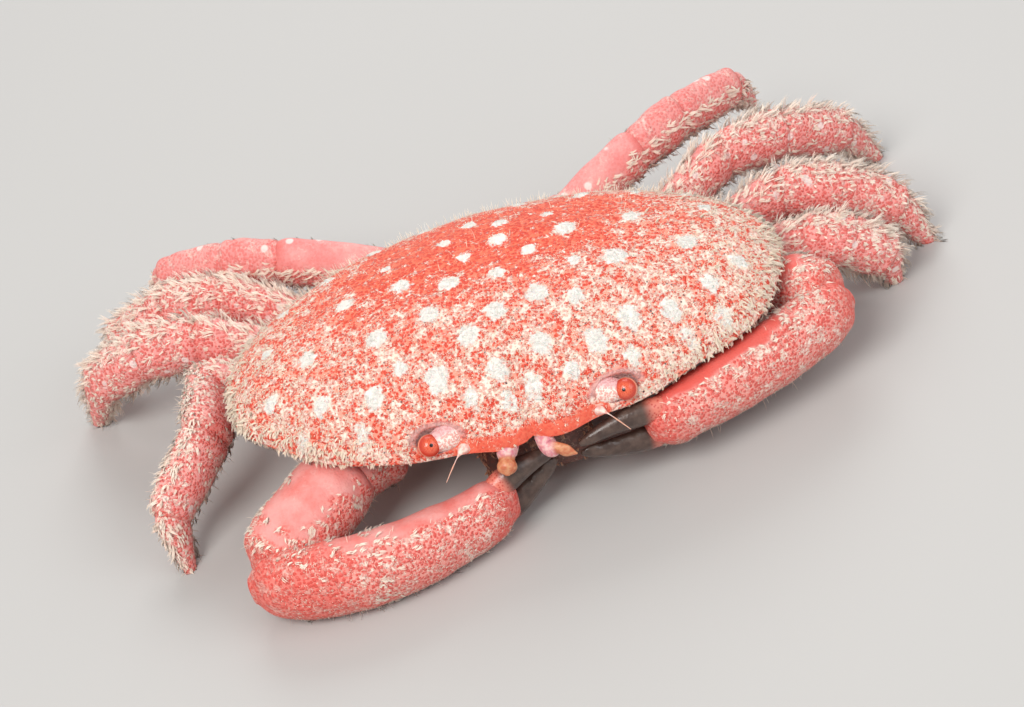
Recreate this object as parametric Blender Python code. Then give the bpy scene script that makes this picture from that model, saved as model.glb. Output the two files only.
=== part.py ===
"""Strawberry crab, life size, resting on one claw and six walking legs.

It faces -Y, its own left side is +X, and the floor is Z = 0.
Every size below is in millimetres. The meshes are made in metres.
"""

import math
import random

import bmesh
import bpy
from mathutils import Vector
from mathutils.bvhtree import BVHTree

MM = 0.001
GAP = 0.32
FLOOR_CUT = 40.0

# Shell of the back
HALF_BREADTH = 19.0
FRONT_LENGTH = 10.9
BACK_LENGTH = 11.8
FRONT_POWER = 2.35
BACK_POWER = 1.9
SIDE_Z = 8.6
FRONT_DROP = 1.7
BACK_DROP = 0.9
DROP_POWER = 2.4
TOP_Z = 13.7
DOME_POWER = 2.3
DOME_ROUNDNESS = 0.60
LOBE_DEPTH = 0.014
LOBE_TURNS = 8
LOBE_FADE = 2.0
BROW_REACH = 0.6
BROW_X = 2.1
BROW_WIDTH = 1.7
SPLIT_Z = 6.4
SHELL_SIDES = 36
SHELL_RISES = (0.22, 0.42, 0.6, 0.75, 0.87, 0.95, 0.99)
SHELL_UNDER = ((0.99, 0.16), (0.95, 0.45), (0.88, 0.8), (0.80, 1.0))

# Underside of the body
THORAX_LEVELS = ((6.08, 0.72), (5.0, 0.66), (3.4, 0.56), (2.2, 0.47), (1.7, 0.40))
THORAX_BACK = 0.6
THORAX_SIDES = 28
ABDOMEN = (
    (9.6, 5.4, 3.2), (8.8, 3.8, 3.6), (7.6, 2.3, 3.4), (6.0, 1.3, 3.0), (4.0, 1.02, 2.5),
    (1.6, 1.02, 2.1), (-0.6, 1.02, 1.8), (-1.8, 1.02, 1.0),
)
ABDOMEN_HALF = 0.36
ABDOMEN_LEAN = (0, 0.7, -1)
MOUTH_PLATE_LOW = (1.95, -7.9, 1.9)
MOUTH_PLATE_TOP = (1.95, -8.4, 6.0)
MOUTH_PLATE_HALF = (1.7, 0.55)

# Eyes and feelers of the crab's left side
ORBIT_CENTRE = (5.75, -10.3, 8.35)
ORBIT_HALF = (2.05, 1.6, 1.15)
CORNEA_CENTRE = (6.55, -10.45, 8.2)
CORNEA_RADIUS = 0.74
STALK_ROOT = (4.6, -10.0, 8.2)
STALK_HALF = 0.8
ANTENNULES = {
    "right": ((-1.2, -9.4, 6.7), (-1.65, -10.5, 6.5), (-2.0, -11.2, 6.3), (-2.25, -11.9, 5.95)),
    "left": ((0.55, -9.4, 6.6), (0.75, -11.0, 6.3), (1.25, -11.9, 6.2), (2.3, -12.3, 5.75)),
}
ANTENNULE_HALVES = {
    "right": ((0.42, 0.42), (0.46, 0.46), (0.5, 0.5), (0.6, 0.5)),
    "left": ((0.42, 0.42), (0.5, 0.46), (0.48, 0.36), (0.3, 0.26)),
}
ANTENNA = ((3.7, -9.6, 6.9), (4.5, -10.9, 7.2), (5.2, -12.0, 7.3), (5.7, -12.8, 7.2))
ANTENNA_HALVES = (0.42, 0.42, 0.32, 0.28)

# Walking legs: ends of the merus, carpus, propodus and dactylus, from the root out
LEG_ROOT = {2: (9.6, 1.4, 4.0), 3: (9.4, 4.6, 4.1), 4: (8.0, 7.2, 4.4), 5: (3.2, 9.8, 7.0)}
LEG_POSE = {
    ("right", 2): ((-20.4, 5.4, 7.0), (-21.2, -0.3, 6.5), (-24.9, -3.7, 3.7), (-24.7, -5.6, -0.3)),
    ("right", 3): ((-20.8, 9.2, 7.7), (-24.8, 10.2, 7.1), (-28.8, 11.8, 4.8), (-30.6, 14.0, -0.3)),
    ("right", 4): ((-18.6, 13.2, 7.8), (-22.6, 15.0, 7.0), (-27.2, 17.2, 4.2), (-29.4, 19.2, -0.3)),
    ("right", 5): ((-14.0, 14.0, 8.9), (-17.6, 15.8, 8.8), (-22.6, 18.2, 7.6), (-24.0, 20.6, 4.6)),
    ("left", 2): ((21.0, 2.9, 6.0), (23.8, 3.0, 4.9), (26.2, 3.2, 2.8), (26.9, 3.6, -0.3)),
    ("left", 3): ((20.6, 7.2, 7.4), (24.4, 7.4, 6.3), (28.3, 7.2, 3.5), (30.2, 7.0, -0.3)),
    ("left", 4): ((17.8, 12.8, 8.0), (22.2, 14.6, 7.2), (27.0, 16.8, 4.4), (29.6, 18.8, -0.3)),
    ("left", 5): ((12.2, 14.6, 9.2), (15.5, 16.8, 9.4), (20.2, 20.1, 8.6), (21.8, 22.3, 5.3)),
}
LEG_SCALE = {2: 1.0, 3: 1.0, 4: 0.94, 5: 0.92}
LEG_SIDES = 8
LEG_PARTS = ("merus", "carpus", "propodus", "dactylus")
LEG_HALF = {
    "merus": (1.85, 1.3),
    "carpus": (1.95, 1.45),
    "propodus": (1.85, 1.4),
    "dactylus": (1.25, 0.95),
}
LEG_LEAN = 0.7

# Claws: root, elbow, wrist, root of the fingers and their tip
CLAW_POSE = {
    "right": (
        (-8.8, -5.0, 4.4), (-13.6, -7.4, 4.7), (-18.0, -11.0, 3.46),
        (-2.87, -10.84, 2.5), (0.93, -9.75, 4.15),
    ),
    "left": ((8.8, -3.6, 4.2), (17.0, 0.2, 5.1), (20.6, -2.7, 5.5), (7.9, -9.8, 4.2), (2.7, -10.5, 4.6)),
}
CLAW_HALF = {"merus": (2.0, 1.8), "carpus": (2.75, 2.75), "palm": (2.85, 2.2)}
CLAW_SCALE = {"right": 1.0, "left": 0.9}
CLAW_LEAN = (0, -0.25, 1)
MERUS_PAST_ELBOW = 0.8
CARPUS_BEFORE_ELBOW = 2.0
CARPUS_PAST_WRIST = 1.4
PALM_BEFORE_WRIST = 2.0
PALM_PAST_KNUCKLE = 0.4
PALM_FRONT = 1.9
PALM_DROP = 0.8
PALM_BOW = {"right": 2.0, "left": 0.5}
CLAW_SIDES = 12
FINGER_SIDES = 8
FINGER_HALF = (1.0, 0.85)
FINGER_SPREAD = 0.504
FINGER_SINK = 0.6
FINGER_BOW = {"fixed": -0.25, "movable": 0.35}
FINGER_TIP = 0.3

# Lengthwise forms: (share of the length, share of the full section)
CAP_SHARE = 0.35
BENT_CAP_SHARE = 0.4
ROUND_ENDS = ((0.0, 0.5), (0.05, 0.76), (0.2, 0.96), (0.5, 1.0), (0.8, 0.97), (0.95, 0.74), (1.0, 0.45))
MERUS_FORM = ((0.0, 0.55), (0.07, 0.8), (0.35, 0.93), (0.75, 1.04), (0.94, 0.9), (1.0, 0.5))
CARPUS_FORM = ((0.0, 0.5), (0.1, 0.82), (0.4, 0.98), (0.75, 1.02), (0.93, 0.84), (1.0, 0.45))
PROPODUS_FORM = ((0.0, 0.5), (0.08, 0.84), (0.35, 1.0), (0.75, 0.93), (0.94, 0.74), (1.0, 0.42))
DACTYLUS_FORM = ((0.0, 0.55), (0.1, 0.92), (0.3, 0.98), (0.6, 0.72), (0.88, 0.44), (1.0, 0.34))
PALM_FORM = (
    (0.0, 0.42), (0.03, 0.68), (0.1, 0.9), (0.25, 1.0), (0.5, 0.98), (0.65, 0.93), (0.8, 0.86), (0.96, 0.7),
    (1.0, 0.5),
)
FINGER_FORM = ((0.0, 0.9), (0.2, 1.0), (0.5, 0.82), (0.78, 0.58), (0.94, 0.4), (1.0, 0.22))
FORM = {"merus": MERUS_FORM, "carpus": CARPUS_FORM, "propodus": PROPODUS_FORM, "dactylus": DACTYLUS_FORM}
OVERLAP = {"merus": (0.1, 0.9), "carpus": (0.7, 0.8), "propodus": (0.7, 0.7), "dactylus": (0.55, 0.0)}

# Flat bristle locks: rows of (edge, turn off that edge in degrees, count, first share, last share)
LOCK_ROWS = {
    "merus": (("upper", -12, 3, 0.42, 0.84), ("lower", 16, 1, 0.8, 0.8)),
    "carpus": (("upper", -14, 2, 0.3, 0.7), ("lower", 14, 1, 0.62, 0.62)),
    "propodus": (("upper", -14, 4, 0.14, 0.8), ("lower", 14, 3, 0.24, 0.8)),
    "dactylus": (("upper", -12, 3, 0.16, 0.62), ("lower", 12, 2, 0.22, 0.55)),
    "palm": (("lower", -24, 6, 0.12, 0.72), ("upper", 20, 3, 0.2, 0.62)),
    "elbow": (("upper", -30, 3, 0.45, 0.82), ("upper", 40, 1, 0.6, 0.6)),
}
LOCK_LENGTH = {"leg": 1.75, "claw": 1.25, "carapace": 1.3}
LOCK_VARIES = 0.2
LOCK_HALF_WIDTH = 0.46
LOCK_HALF_DEPTH = 0.3
LOCK_FORM = ((-0.24, 1.0), (0.5, 0.72))
LOCK_BEND = 0.55
LOCK_TRIES = (1.0, 0.8, 0.62)
LOCK_CLEAR = 0.34
MARGIN_LOCKS = 26
MARGIN_START = -62
MARGIN_END = 242
MARGIN_SINK = 0.97
MARGIN_RISE = 0.3
MARGIN_FALL = 0.4
MARGIN_VARIES = 0.2
ROOT_VARIES = 0.02
ROOT_TURN_VARIES = 10
SEED = 11

# Colour and roughness of each finish
FINISH = {
    "shell": ((0.75, 0.10, 0.06), 0.55),
    "limb": ((0.80, 0.22, 0.18), 0.6),
    "finger": ((0.05, 0.035, 0.03), 0.35),
    "underside": ((0.62, 0.32, 0.24), 0.6),
    "cornea": ((0.70, 0.06, 0.02), 0.15),
    "stalk": ((0.80, 0.55, 0.50), 0.45),
    "feeler": ((0.60, 0.22, 0.22), 0.5),
}


SURFACES = {}


def clear_scene():
    for obj in list(bpy.data.objects):
        bpy.data.objects.remove(obj, do_unlink=True)


def own_material(name, finish):
    colour, roughness = FINISH[finish]
    material = bpy.data.materials.new(name + "_finish")
    material.use_nodes = True
    shader = material.node_tree.nodes["Principled BSDF"]
    shader.inputs["Base Color"].default_value = (*colour, 1.0)
    shader.inputs["Roughness"].default_value = roughness
    shader.inputs["Metallic"].default_value = 0.0
    return material


def closed_loft(name, rings, low_pole, top_pole):
    """A closed body through rings of equal count, with a pole beyond each end. Points are in millimetres."""
    mesh = bpy.data.meshes.new(name)
    shape = bmesh.new()
    loops = [[shape.verts.new(point * MM) for point in ring] for ring in rings]
    count = len(loops[0])
    for lower, upper in zip(loops, loops[1:]):
        for i in range(count):
            j = (i + 1) % count
            shape.faces.new((lower[i], lower[j], upper[j], upper[i]))
    for loop, pole in ((loops[0], low_pole), (loops[-1], top_pole)):
        centre = shape.verts.new(pole * MM)
        for i in range(count):
            shape.faces.new((loop[i], loop[(i + 1) % count], centre))
    bmesh.ops.triangulate(shape, faces=shape.faces[:])
    bmesh.ops.recalc_face_normals(shape, faces=shape.faces[:])
    if shape.calc_volume(signed=True) < 0:
        bmesh.ops.reverse_faces(shape, faces=shape.faces[:])
    shape.to_mesh(mesh)
    shape.free()
    obj = bpy.data.objects.new(name, mesh)
    bpy.context.scene.collection.objects.link(obj)
    return obj


def largest_body(obj):
    """Keeps the closed surface of the largest volume and drops loose scraps."""
    shape = bmesh.new()
    shape.from_mesh(obj.data)
    bmesh.ops.triangulate(shape, faces=shape.faces[:])
    seen = set()
    best = (0.0, set())
    for start in shape.faces:
        if start in seen:
            continue
        island = {start}
        reach = [start]
        while reach:
            face = reach.pop()
            for edge in face.edges:
                for other in edge.link_faces:
                    if other not in island:
                        island.add(other)
                        reach.append(other)
        seen |= island
        volume = sum(f.verts[0].co.dot(f.verts[1].co.cross(f.verts[2].co)) for f in island) / 6
        if volume > best[0]:
            best = (volume, island)
    bmesh.ops.delete(shape, geom=[f for f in shape.faces if f not in best[1]], context="FACES")
    loose = [v for v in shape.verts if not v.link_faces]
    bmesh.ops.delete(shape, geom=loose, context="VERTS")
    shape.to_mesh(obj.data)
    shape.free()


def boolean(obj, other, operation):
    """Applies one Boolean with a closed body, then removes that body."""
    change = obj.modifiers.new("change", "BOOLEAN")
    change.operation = operation
    change.solver = "EXACT"
    change.object = other
    graph = bpy.context.evaluated_depsgraph_get()
    mesh = bpy.data.meshes.new_from_object(obj.evaluated_get(graph))
    obj.modifiers.clear()
    obj.data = mesh
    bpy.data.objects.remove(other, do_unlink=True)
    largest_body(obj)


def join_all(obj, pieces):
    """Fuses a collection of closed pieces into the object with one union, then removes them."""
    group = bpy.data.collections.new(obj.name + "_pieces")
    bpy.context.scene.collection.children.link(group)
    for piece in pieces:
        bpy.context.scene.collection.objects.unlink(piece)
        group.objects.link(piece)
    change = obj.modifiers.new("join", "BOOLEAN")
    change.operation = "UNION"
    change.solver = "EXACT"
    change.operand_type = "COLLECTION"
    change.collection = group
    graph = bpy.context.evaluated_depsgraph_get()
    mesh = bpy.data.meshes.new_from_object(obj.evaluated_get(graph))
    obj.modifiers.clear()
    obj.data = mesh
    for piece in pieces:
        bpy.data.objects.remove(piece, do_unlink=True)
    bpy.data.collections.remove(group)
    largest_body(obj)


def swollen(obj):
    """A copy whose faces stand out by the gap that touching pieces keep."""
    copy = bpy.data.objects.new(obj.name + "_swollen", obj.data.copy())
    bpy.context.scene.collection.objects.link(copy)
    shape = bmesh.new()
    shape.from_mesh(copy.data)
    shape.normal_update()
    moves = [(v, v.normal * GAP * MM) for v in shape.verts]
    for vert, move in moves:
        vert.co += move
    shape.to_mesh(copy.data)
    shape.free()
    return copy


def box_of(obj):
    corners = [v.co for v in obj.data.vertices]
    low = [min(c[k] for c in corners) for k in range(3)]
    high = [max(c[k] for c in corners) for k in range(3)]
    return low, high


def near(one, other, reach=GAP):
    (low_a, high_a), (low_b, high_b) = box_of(one), box_of(other)
    margin = reach * MM
    return all(low_a[k] < high_b[k] + margin and low_b[k] < high_a[k] + margin for k in range(3))


def trim(obj, envelopes):
    """Cuts the piece back by the gap wherever it would enter another piece's own form."""
    for envelope in envelopes:
        if near(obj, envelope):
            boolean(obj, swollen(envelope), "DIFFERENCE")


def envelope_of(obj):
    """A hidden copy of a piece's whole form, from before any cut."""
    copy = bpy.data.objects.new(obj.name + "_form", obj.data.copy())
    bpy.context.scene.collection.objects.link(copy)
    copy.hide_render = True
    copy.display_type = "WIRE"
    return copy


def margin_point(angle):
    """The edge of the back in plan. Angle 0 is the crab's left, and a negative one is its front."""
    across, along = math.cos(angle), math.sin(angle)
    front = along < 0
    power = 2 / (FRONT_POWER if front else BACK_POWER)
    x = HALF_BREADTH * math.copysign(abs(across) ** power, across)
    y = (FRONT_LENGTH if front else BACK_LENGTH) * math.copysign(abs(along) ** power, along)
    if front:
        reach = math.exp(-(((abs(x) - BROW_X) / BROW_WIDTH) ** 2))
        y -= BROW_REACH * reach
        lobes = 1 + LOBE_DEPTH * math.sin(LOBE_TURNS * angle) * min(1.0, abs(along * across) * LOBE_FADE)
        x *= lobes
        y *= lobes
    return x, y


def margin_height(angle):
    along = math.sin(angle)
    return SIDE_Z - (FRONT_DROP if along < 0 else BACK_DROP) * abs(along) ** DROP_POWER


def shell_point(angle, share):
    x, y = margin_point(angle)
    base = margin_height(angle)
    rise = (1 - share**DOME_POWER) ** DOME_ROUNDNESS
    return Vector((x * share, y * share, base + (TOP_Z - base) * rise))


def carapace():
    angles = [2 * math.pi * i / SHELL_SIDES - math.pi / 2 for i in range(SHELL_SIDES)]
    rings = [[shell_point(a, share) for a in angles] for share in SHELL_RISES]
    rings.append([Vector((*margin_point(a), margin_height(a))) for a in angles])
    for share, fall in SHELL_UNDER:
        ring = []
        for a in angles:
            x, y = margin_point(a)
            edge = margin_height(a)
            ring.append(Vector((x * share, y * share, edge + (SPLIT_Z - edge) * fall)))
        rings.append(ring)
    return closed_loft("carapace", rings, Vector((0, 0, TOP_Z)), Vector((0, 0, SPLIT_Z)))


def ellipsoid(name, centre, half, sides=12, rows=8):
    rings = []
    for row in range(1, rows):
        tilt = math.pi * row / rows
        level = centre[2] - half[2] * math.cos(tilt)
        ring = []
        for i in range(sides):
            turn = 2 * math.pi * i / sides
            x = centre[0] + half[0] * math.sin(tilt) * math.cos(turn)
            y = centre[1] + half[1] * math.sin(tilt) * math.sin(turn)
            ring.append(Vector((x, y, level)))
        rings.append(ring)
    low = Vector((centre[0], centre[1], centre[2] - half[2]))
    top = Vector((centre[0], centre[1], centre[2] + half[2]))
    return closed_loft(name, rings, low, top)


def thorax():
    angles = [2 * math.pi * i / THORAX_SIDES - math.pi / 2 for i in range(THORAX_SIDES)]
    rings = []
    for level, share in THORAX_LEVELS:
        ring = []
        for a in angles:
            x, y = margin_point(a)
            ring.append(Vector((x * share, y * share + THORAX_BACK, level)))
        rings.append(ring)
    top, low = THORAX_LEVELS[0][0], THORAX_LEVELS[-1][0]
    return closed_loft("thorax", rings, Vector((0, THORAX_BACK, top)), Vector((0, THORAX_BACK, low)))


def frame_along(direction, lean):
    """Two unit vectors across a limb: the first towards its upper edge, the second across its flat side."""
    upper = Vector(lean) - Vector(lean).dot(direction) * direction
    upper.normalize()
    return upper, direction.cross(upper).normalized()


def share_at(form, along):
    """The share of the full section at a place along a form."""
    for (low, first), (high, last) in zip(form, form[1:]):
        if along <= high:
            return first + (last - first) * (along - low) / (high - low)
    return form[-1][1]


def limb(name, path, form, half, lean, sides, bow=(0, 0, 0)):
    """A rounded limb piece between two points, by its lengthwise form and its bow aside."""
    start, end = Vector(path[0]), Vector(path[1])
    run = end - start
    direction = run.normalized()
    upper, flat = frame_along(direction, lean)

    def surface(along, turn):
        share = share_at(form, along)
        across = upper * half[0] * share * math.sin(turn) + flat * half[1] * share * math.cos(turn)
        outward = upper * math.sin(turn) / half[0] + flat * math.cos(turn) / half[1]
        middle = start + run * along + Vector(bow) * math.sin(math.pi * along)
        return middle + across, outward.normalized(), direction

    SURFACES[name] = surface
    turns = [2 * math.pi * i / sides for i in range(sides)]
    rings = [[surface(along, turn)[0] for turn in turns] for along, _ in form]
    cap = min(half) * form[0][1] * CAP_SHARE
    tip = min(half) * form[-1][1] * CAP_SHARE
    return closed_loft(name, rings, start - direction * cap, end + direction * tip)


def curved_limb(name, path, halves, lean, sides):
    """A limb piece that bends through its points, each with its own half height and half width."""
    points = [Vector(p) for p in path]
    rings = []
    for i, (point, half) in enumerate(zip(points, halves)):
        before, after = points[max(i - 1, 0)], points[min(i + 1, len(points) - 1)]
        upper, flat = frame_along((after - before).normalized(), lean)
        rings.append(
            [
                point + upper * half[0] * math.sin(turn) + flat * half[1] * math.cos(turn)
                for turn in (2 * math.pi * k / sides for k in range(sides))
            ]
        )
    first = (points[0] - points[1]).normalized() * min(halves[0]) * BENT_CAP_SHARE
    last = (points[-1] - points[-2]).normalized() * min(halves[-1]) * BENT_CAP_SHARE
    return closed_loft(name, rings, points[0] + first, points[-1] + last)


def level_flat(obj):
    """Cuts a piece off level at the floor, so that it rests on a small flat."""
    half = FLOOR_CUT
    if box_of(obj)[0][2] < 0:
        corners = ((-half, -half), (half, -half), (half, half), (-half, half))
        rings = [[Vector((x, y, level)) for x, y in corners] for level in (-half, 0)]
        block = closed_loft("below_floor", rings, Vector((0, 0, -half)), Vector((0, 0, 0)))
        boolean(obj, block, "DIFFERENCE")


def leg(side, number):
    """Four pieces of one walking leg, each whole, from the root out."""
    sign = 1 if side == "left" else -1
    root = LEG_ROOT[number]
    joints = [Vector((sign * root[0], root[1], root[2]))] + [Vector(p) for p in LEG_POSE[(side, number)]]
    outward = (joints[-1] - joints[0]) * Vector((1, 1, 0))
    lean = outward.normalized() * LEG_LEAN + Vector((0, 0, 1))
    size = LEG_SCALE[number]
    pieces = []
    for part, start, end in zip(LEG_PARTS, joints, joints[1:]):
        direction = (end - start).normalized()
        inner, outer = OVERLAP[part]
        path = (start - direction * inner * size, end + direction * outer * size)
        half = [h * size for h in LEG_HALF[part]]
        pieces.append(limb(f"leg{number}_{part}_{side}", path, FORM[part], half, lean, LEG_SIDES))
    return pieces


def claw(side):
    """Merus, carpus, palm with its fixed finger, and movable finger, each whole."""
    root, elbow, wrist, knuckle, tip = (Vector(p) for p in CLAW_POSE[side])
    size = CLAW_SCALE[side]
    half = {part: [h * size for h in CLAW_HALF[part]] for part in CLAW_HALF}
    reach = (elbow - root).normalized()
    path = (root, elbow + reach * MERUS_PAST_ELBOW)
    merus = limb(f"claw_merus_{side}", path, MERUS_FORM, half["merus"], CLAW_LEAN, CLAW_SIDES)
    reach = (wrist - elbow).normalized()
    path = (elbow - reach * CARPUS_BEFORE_ELBOW, wrist + reach * CARPUS_PAST_WRIST)
    carpus = limb(f"claw_carpus_{side}", path, ROUND_ENDS, half["carpus"], CLAW_LEAN, CLAW_SIDES)
    reach = (knuckle - wrist).normalized()
    front = Vector((0, -PALM_FRONT * size, -PALM_DROP))
    path = (wrist - reach * PALM_BEFORE_WRIST + front, knuckle + reach * PALM_PAST_KNUCKLE)
    bow = (0, -PALM_BOW[side], 0)
    palm = limb(f"claw_palm_{side}", path, PALM_FORM, half["palm"], CLAW_LEAN, CLAW_SIDES, bow)
    upper, _ = frame_along(reach, CLAW_LEAN)
    spread = upper * FINGER_SPREAD * half["palm"][0]
    fingers = []
    for name, kind, shift in (("fixed", "fixed", -1), ("claw_finger", "movable", 1)):
        start = knuckle + spread * shift - reach * FINGER_SINK
        end = tip + upper * shift * (FINGER_TIP + GAP / 2)
        path = []
        halves = []
        for along, share in FINGER_FORM:
            path.append(start.lerp(end, along) + upper * FINGER_BOW[kind] * math.sin(math.pi * along))
            halves.append((FINGER_HALF[0] * share * size, FINGER_HALF[1] * share * size))
        fingers.append(curved_limb(f"{name}_{side}", path, halves, CLAW_LEAN, FINGER_SIDES))
    return merus, carpus, palm, *fingers


def lock_points(root, outward, lie, length):
    """Rings and tip of one flat lock that leaves the surface and bends over towards its lie."""
    side = outward.cross(lie).normalized()
    rings = []
    for along, share in LOCK_FORM:
        bend = LOCK_BEND * max(along, 0.0)
        point = root + (outward * (1 - bend) + lie * bend) * length * along
        wide = (lie * (1 - bend) - outward * bend).normalized() * LOCK_HALF_WIDTH * share
        deep = side * LOCK_HALF_DEPTH * share
        rings.append([point + wide, point + deep, point - wide, point - deep])
    tip = root + (outward * (1 - LOCK_BEND) + lie * LOCK_BEND) * length
    return rings, tip


def clear_of(points, trees):
    """Whether every point keeps the gap to every other piece."""
    for point in points:
        for tree in trees:
            place, normal, _, distance = tree.find_nearest(point * MM, 2 * MM)
            if place is None:
                continue
            if distance < LOCK_CLEAR * MM or (point * MM - place).dot(normal) < 0:
                return False
    return True


def add_locks(obj, roots, length, others, chance):
    """Fuses the locks that stay clear of all the other pieces, each as long as there is room for."""
    trees = []
    for other in others:
        if near(obj, other, length):
            mesh = other.data
            corners = [v.co for v in mesh.vertices]
            trees.append(BVHTree.FromPolygons(corners, [tuple(p.vertices) for p in mesh.polygons]))
    pieces = []
    for root, outward, lie in roots:
        vary = 1 + chance.uniform(-LOCK_VARIES, LOCK_VARIES)
        for part in LOCK_TRIES:
            rings, tip = lock_points(root, outward, lie, length * vary * part)
            middle = [(low + high) / 2 for low, high in zip(rings[0], rings[-1])]
            upper = [(tip + corner) / 2 for corner in rings[-1]]
            if tip.z > LOCK_CLEAR and clear_of([*rings[0], *middle, *rings[-1], *upper, tip], trees):
                base = sum(rings[0], Vector()) / 4
                pieces.append(closed_loft("lock", rings, base, tip))
                break
    if pieces:
        join_all(obj, pieces)


def limb_roots(name, part, chance):
    """Lock roots in rows along a limb's upper and lower edges."""
    surface = SURFACES[name]
    roots = []
    for edge, off, count, first, last in LOCK_ROWS[part]:
        for i in range(count):
            along = first + (last - first) * (i / (count - 1) if count > 1 else 0)
            middle = 90 if edge == "upper" else 270
            turn = math.radians(middle + off + chance.uniform(-ROOT_TURN_VARIES, ROOT_TURN_VARIES))
            roots.append(surface(along + chance.uniform(-ROOT_VARIES, ROOT_VARIES), turn))
    return roots


def margin_roots(chance):
    """Lock roots round the edge of the back, from one brow round the rear to the other."""
    roots = []
    for i in range(MARGIN_LOCKS):
        share = (i + chance.uniform(-MARGIN_VARIES, MARGIN_VARIES)) / (MARGIN_LOCKS - 1)
        angle = math.radians(MARGIN_START + (MARGIN_END - MARGIN_START) * share)
        x, y = margin_point(angle)
        outward = Vector((x / HALF_BREADTH**2, y / FRONT_LENGTH**2, 0)).normalized()
        root = Vector((x * MARGIN_SINK, y * MARGIN_SINK, margin_height(angle) + MARGIN_RISE))
        along = Vector((-outward.y, outward.x, 0)) * (1 if x < 0 else -1)
        roots.append((root, outward, (along + Vector((0, 0, -MARGIN_FALL))).normalized()))
    return roots


def mirrored(point, side):
    sign = 1 if side == "left" else -1
    return (sign * point[0], point[1], point[2])


def eye(side):
    centre = Vector(mirrored(CORNEA_CENTRE, side))
    root = Vector(mirrored(STALK_ROOT, side))
    cornea = ellipsoid(f"cornea_{side}", centre, (CORNEA_RADIUS,) * 3)
    half = (STALK_HALF, STALK_HALF)
    stalk = limb(f"eyestalk_{side}", (root, centre), ROUND_ENDS, half, (0, 0, 1), 10)
    return stalk, cornea


def abdomen():
    """The flap folded under the body, from its hind edge forward. A row is place, height and half width."""
    path = [(0, y, z) for y, z, _ in ABDOMEN]
    halves = [(ABDOMEN_HALF, width) for _, _, width in ABDOMEN]
    return curved_limb("abdomen", path, halves, ABDOMEN_LEAN, 12)


def mouth_plate(side):
    """One of the two outer mouth plates, upright below the front rim."""
    path = (mirrored(MOUTH_PLATE_LOW, side), mirrored(MOUTH_PLATE_TOP, side))
    return limb(f"maxilliped_{side}", path, CARPUS_FORM, MOUTH_PLATE_HALF, mirrored((1, 0, 0), side), 12)


def build():
    clear_scene()
    shell = carapace()
    body = thorax()
    solid = {"carapace": shell, "thorax": body}
    finish = {"carapace": "shell", "thorax": "underside"}
    forms = {"carapace": envelope_of(shell), "thorax": envelope_of(body)}

    def keep(obj, kind):
        solid[obj.name] = obj
        finish[obj.name] = kind
        forms[obj.name] = envelope_of(obj)

    for side in ("left", "right"):
        boolean(shell, ellipsoid("orbit", mirrored(ORBIT_CENTRE, side), ORBIT_HALF), "DIFFERENCE")
        stalk, cornea = eye(side)
        keep(stalk, "stalk")
        keep(cornea, "cornea")
        trim(stalk, [forms[cornea.name]])
        trim(shell, [forms[stalk.name], forms[cornea.name]])
    trunk = [forms["carapace"], forms["thorax"]]
    flap = abdomen()
    trim(flap, trunk)
    keep(flap, "underside")
    for side in ("left", "right"):
        plate = mouth_plate(side)
        trim(plate, trunk)
        keep(plate, "underside")
        halves = ANTENNULE_HALVES[side]
        feeler = curved_limb(f"antennule_{side}", ANTENNULES[side], halves, (0, 0, 1), 10)
        trim(feeler, trunk)
        keep(feeler, "feeler")
        path = [mirrored(p, side) for p in ANTENNA]
        halves = [(half, half) for half in ANTENNA_HALVES]
        feeler = curved_limb(f"antenna_{side}", path, halves, (0, 0, 1), 8)
        trim(feeler, trunk)
        keep(feeler, "feeler")

    for side in ("right", "left"):
        merus, carpus, palm, fixed, finger = claw(side)
        for piece in (merus, carpus, palm, finger):
            keep(piece, "limb")
        finish[finger.name] = "finger"
        palm_form, fixed_form = forms[palm.name], envelope_of(fixed)
        boolean(palm, fixed, "UNION")
        trim(carpus, [palm_form])
        trim(merus, [forms[carpus.name], palm_form])
        trim(finger, [palm_form, fixed_form])
        for piece in (merus, carpus, palm):
            trim(piece, trunk)
    for side in ("left", "right"):
        before = forms[f"claw_merus_{side}"]
        elbow = forms[f"claw_carpus_{side}"]
        for number in LEG_ROOT:
            pieces = leg(side, number)
            for piece in pieces:
                keep(piece, "limb")
            for inner, outer in zip(pieces, pieces[1:]):
                trim(inner, [forms[outer.name]])
            trim(pieces[0], [*trunk, before, elbow])
            for piece in pieces[1:]:
                trim(piece, [forms["carapace"], elbow])
            before = forms[pieces[0].name]
    for obj in solid.values():
        level_flat(obj)
    chance = random.Random(SEED)
    for name, obj in solid.items():
        kind, part = (name.split("_") + [""])[:2]
        part = "elbow" if name.startswith("claw_carpus") else part
        if name == "carapace":
            roots, length = margin_roots(chance), LOCK_LENGTH["carapace"]
        elif part in LOCK_ROWS and not name.startswith("claw_merus"):
            roots = limb_roots(name, part, chance)
            length = LOCK_LENGTH["claw" if kind == "claw" else "leg"]
        else:
            continue
        add_locks(obj, roots, length, [o for o in solid.values() if o is not obj], chance)
    for form in list(bpy.data.objects):
        if form.hide_render:
            bpy.data.objects.remove(form, do_unlink=True)
    boxes = [box_of(obj) for obj in solid.values()]
    centre = Vector(((min(b[0][k] for b in boxes) + max(b[1][k] for b in boxes)) / 2 for k in range(3)))
    for name, obj in solid.items():
        for vert in obj.data.vertices:
            vert.co.x -= centre.x
            vert.co.y -= centre.y
        obj.data.materials.clear()
        obj.data.materials.append(own_material(name, finish[name]))
        obj.data.shade_smooth()


build()
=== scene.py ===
"""Strawberry crab: the finished plates, eyes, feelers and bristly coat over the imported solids.

Sizes are in millimetres in the crab's own frame. It faces -Y, its own left side is +X and the
floor is Z = 0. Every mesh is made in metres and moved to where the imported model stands.
"""

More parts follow.
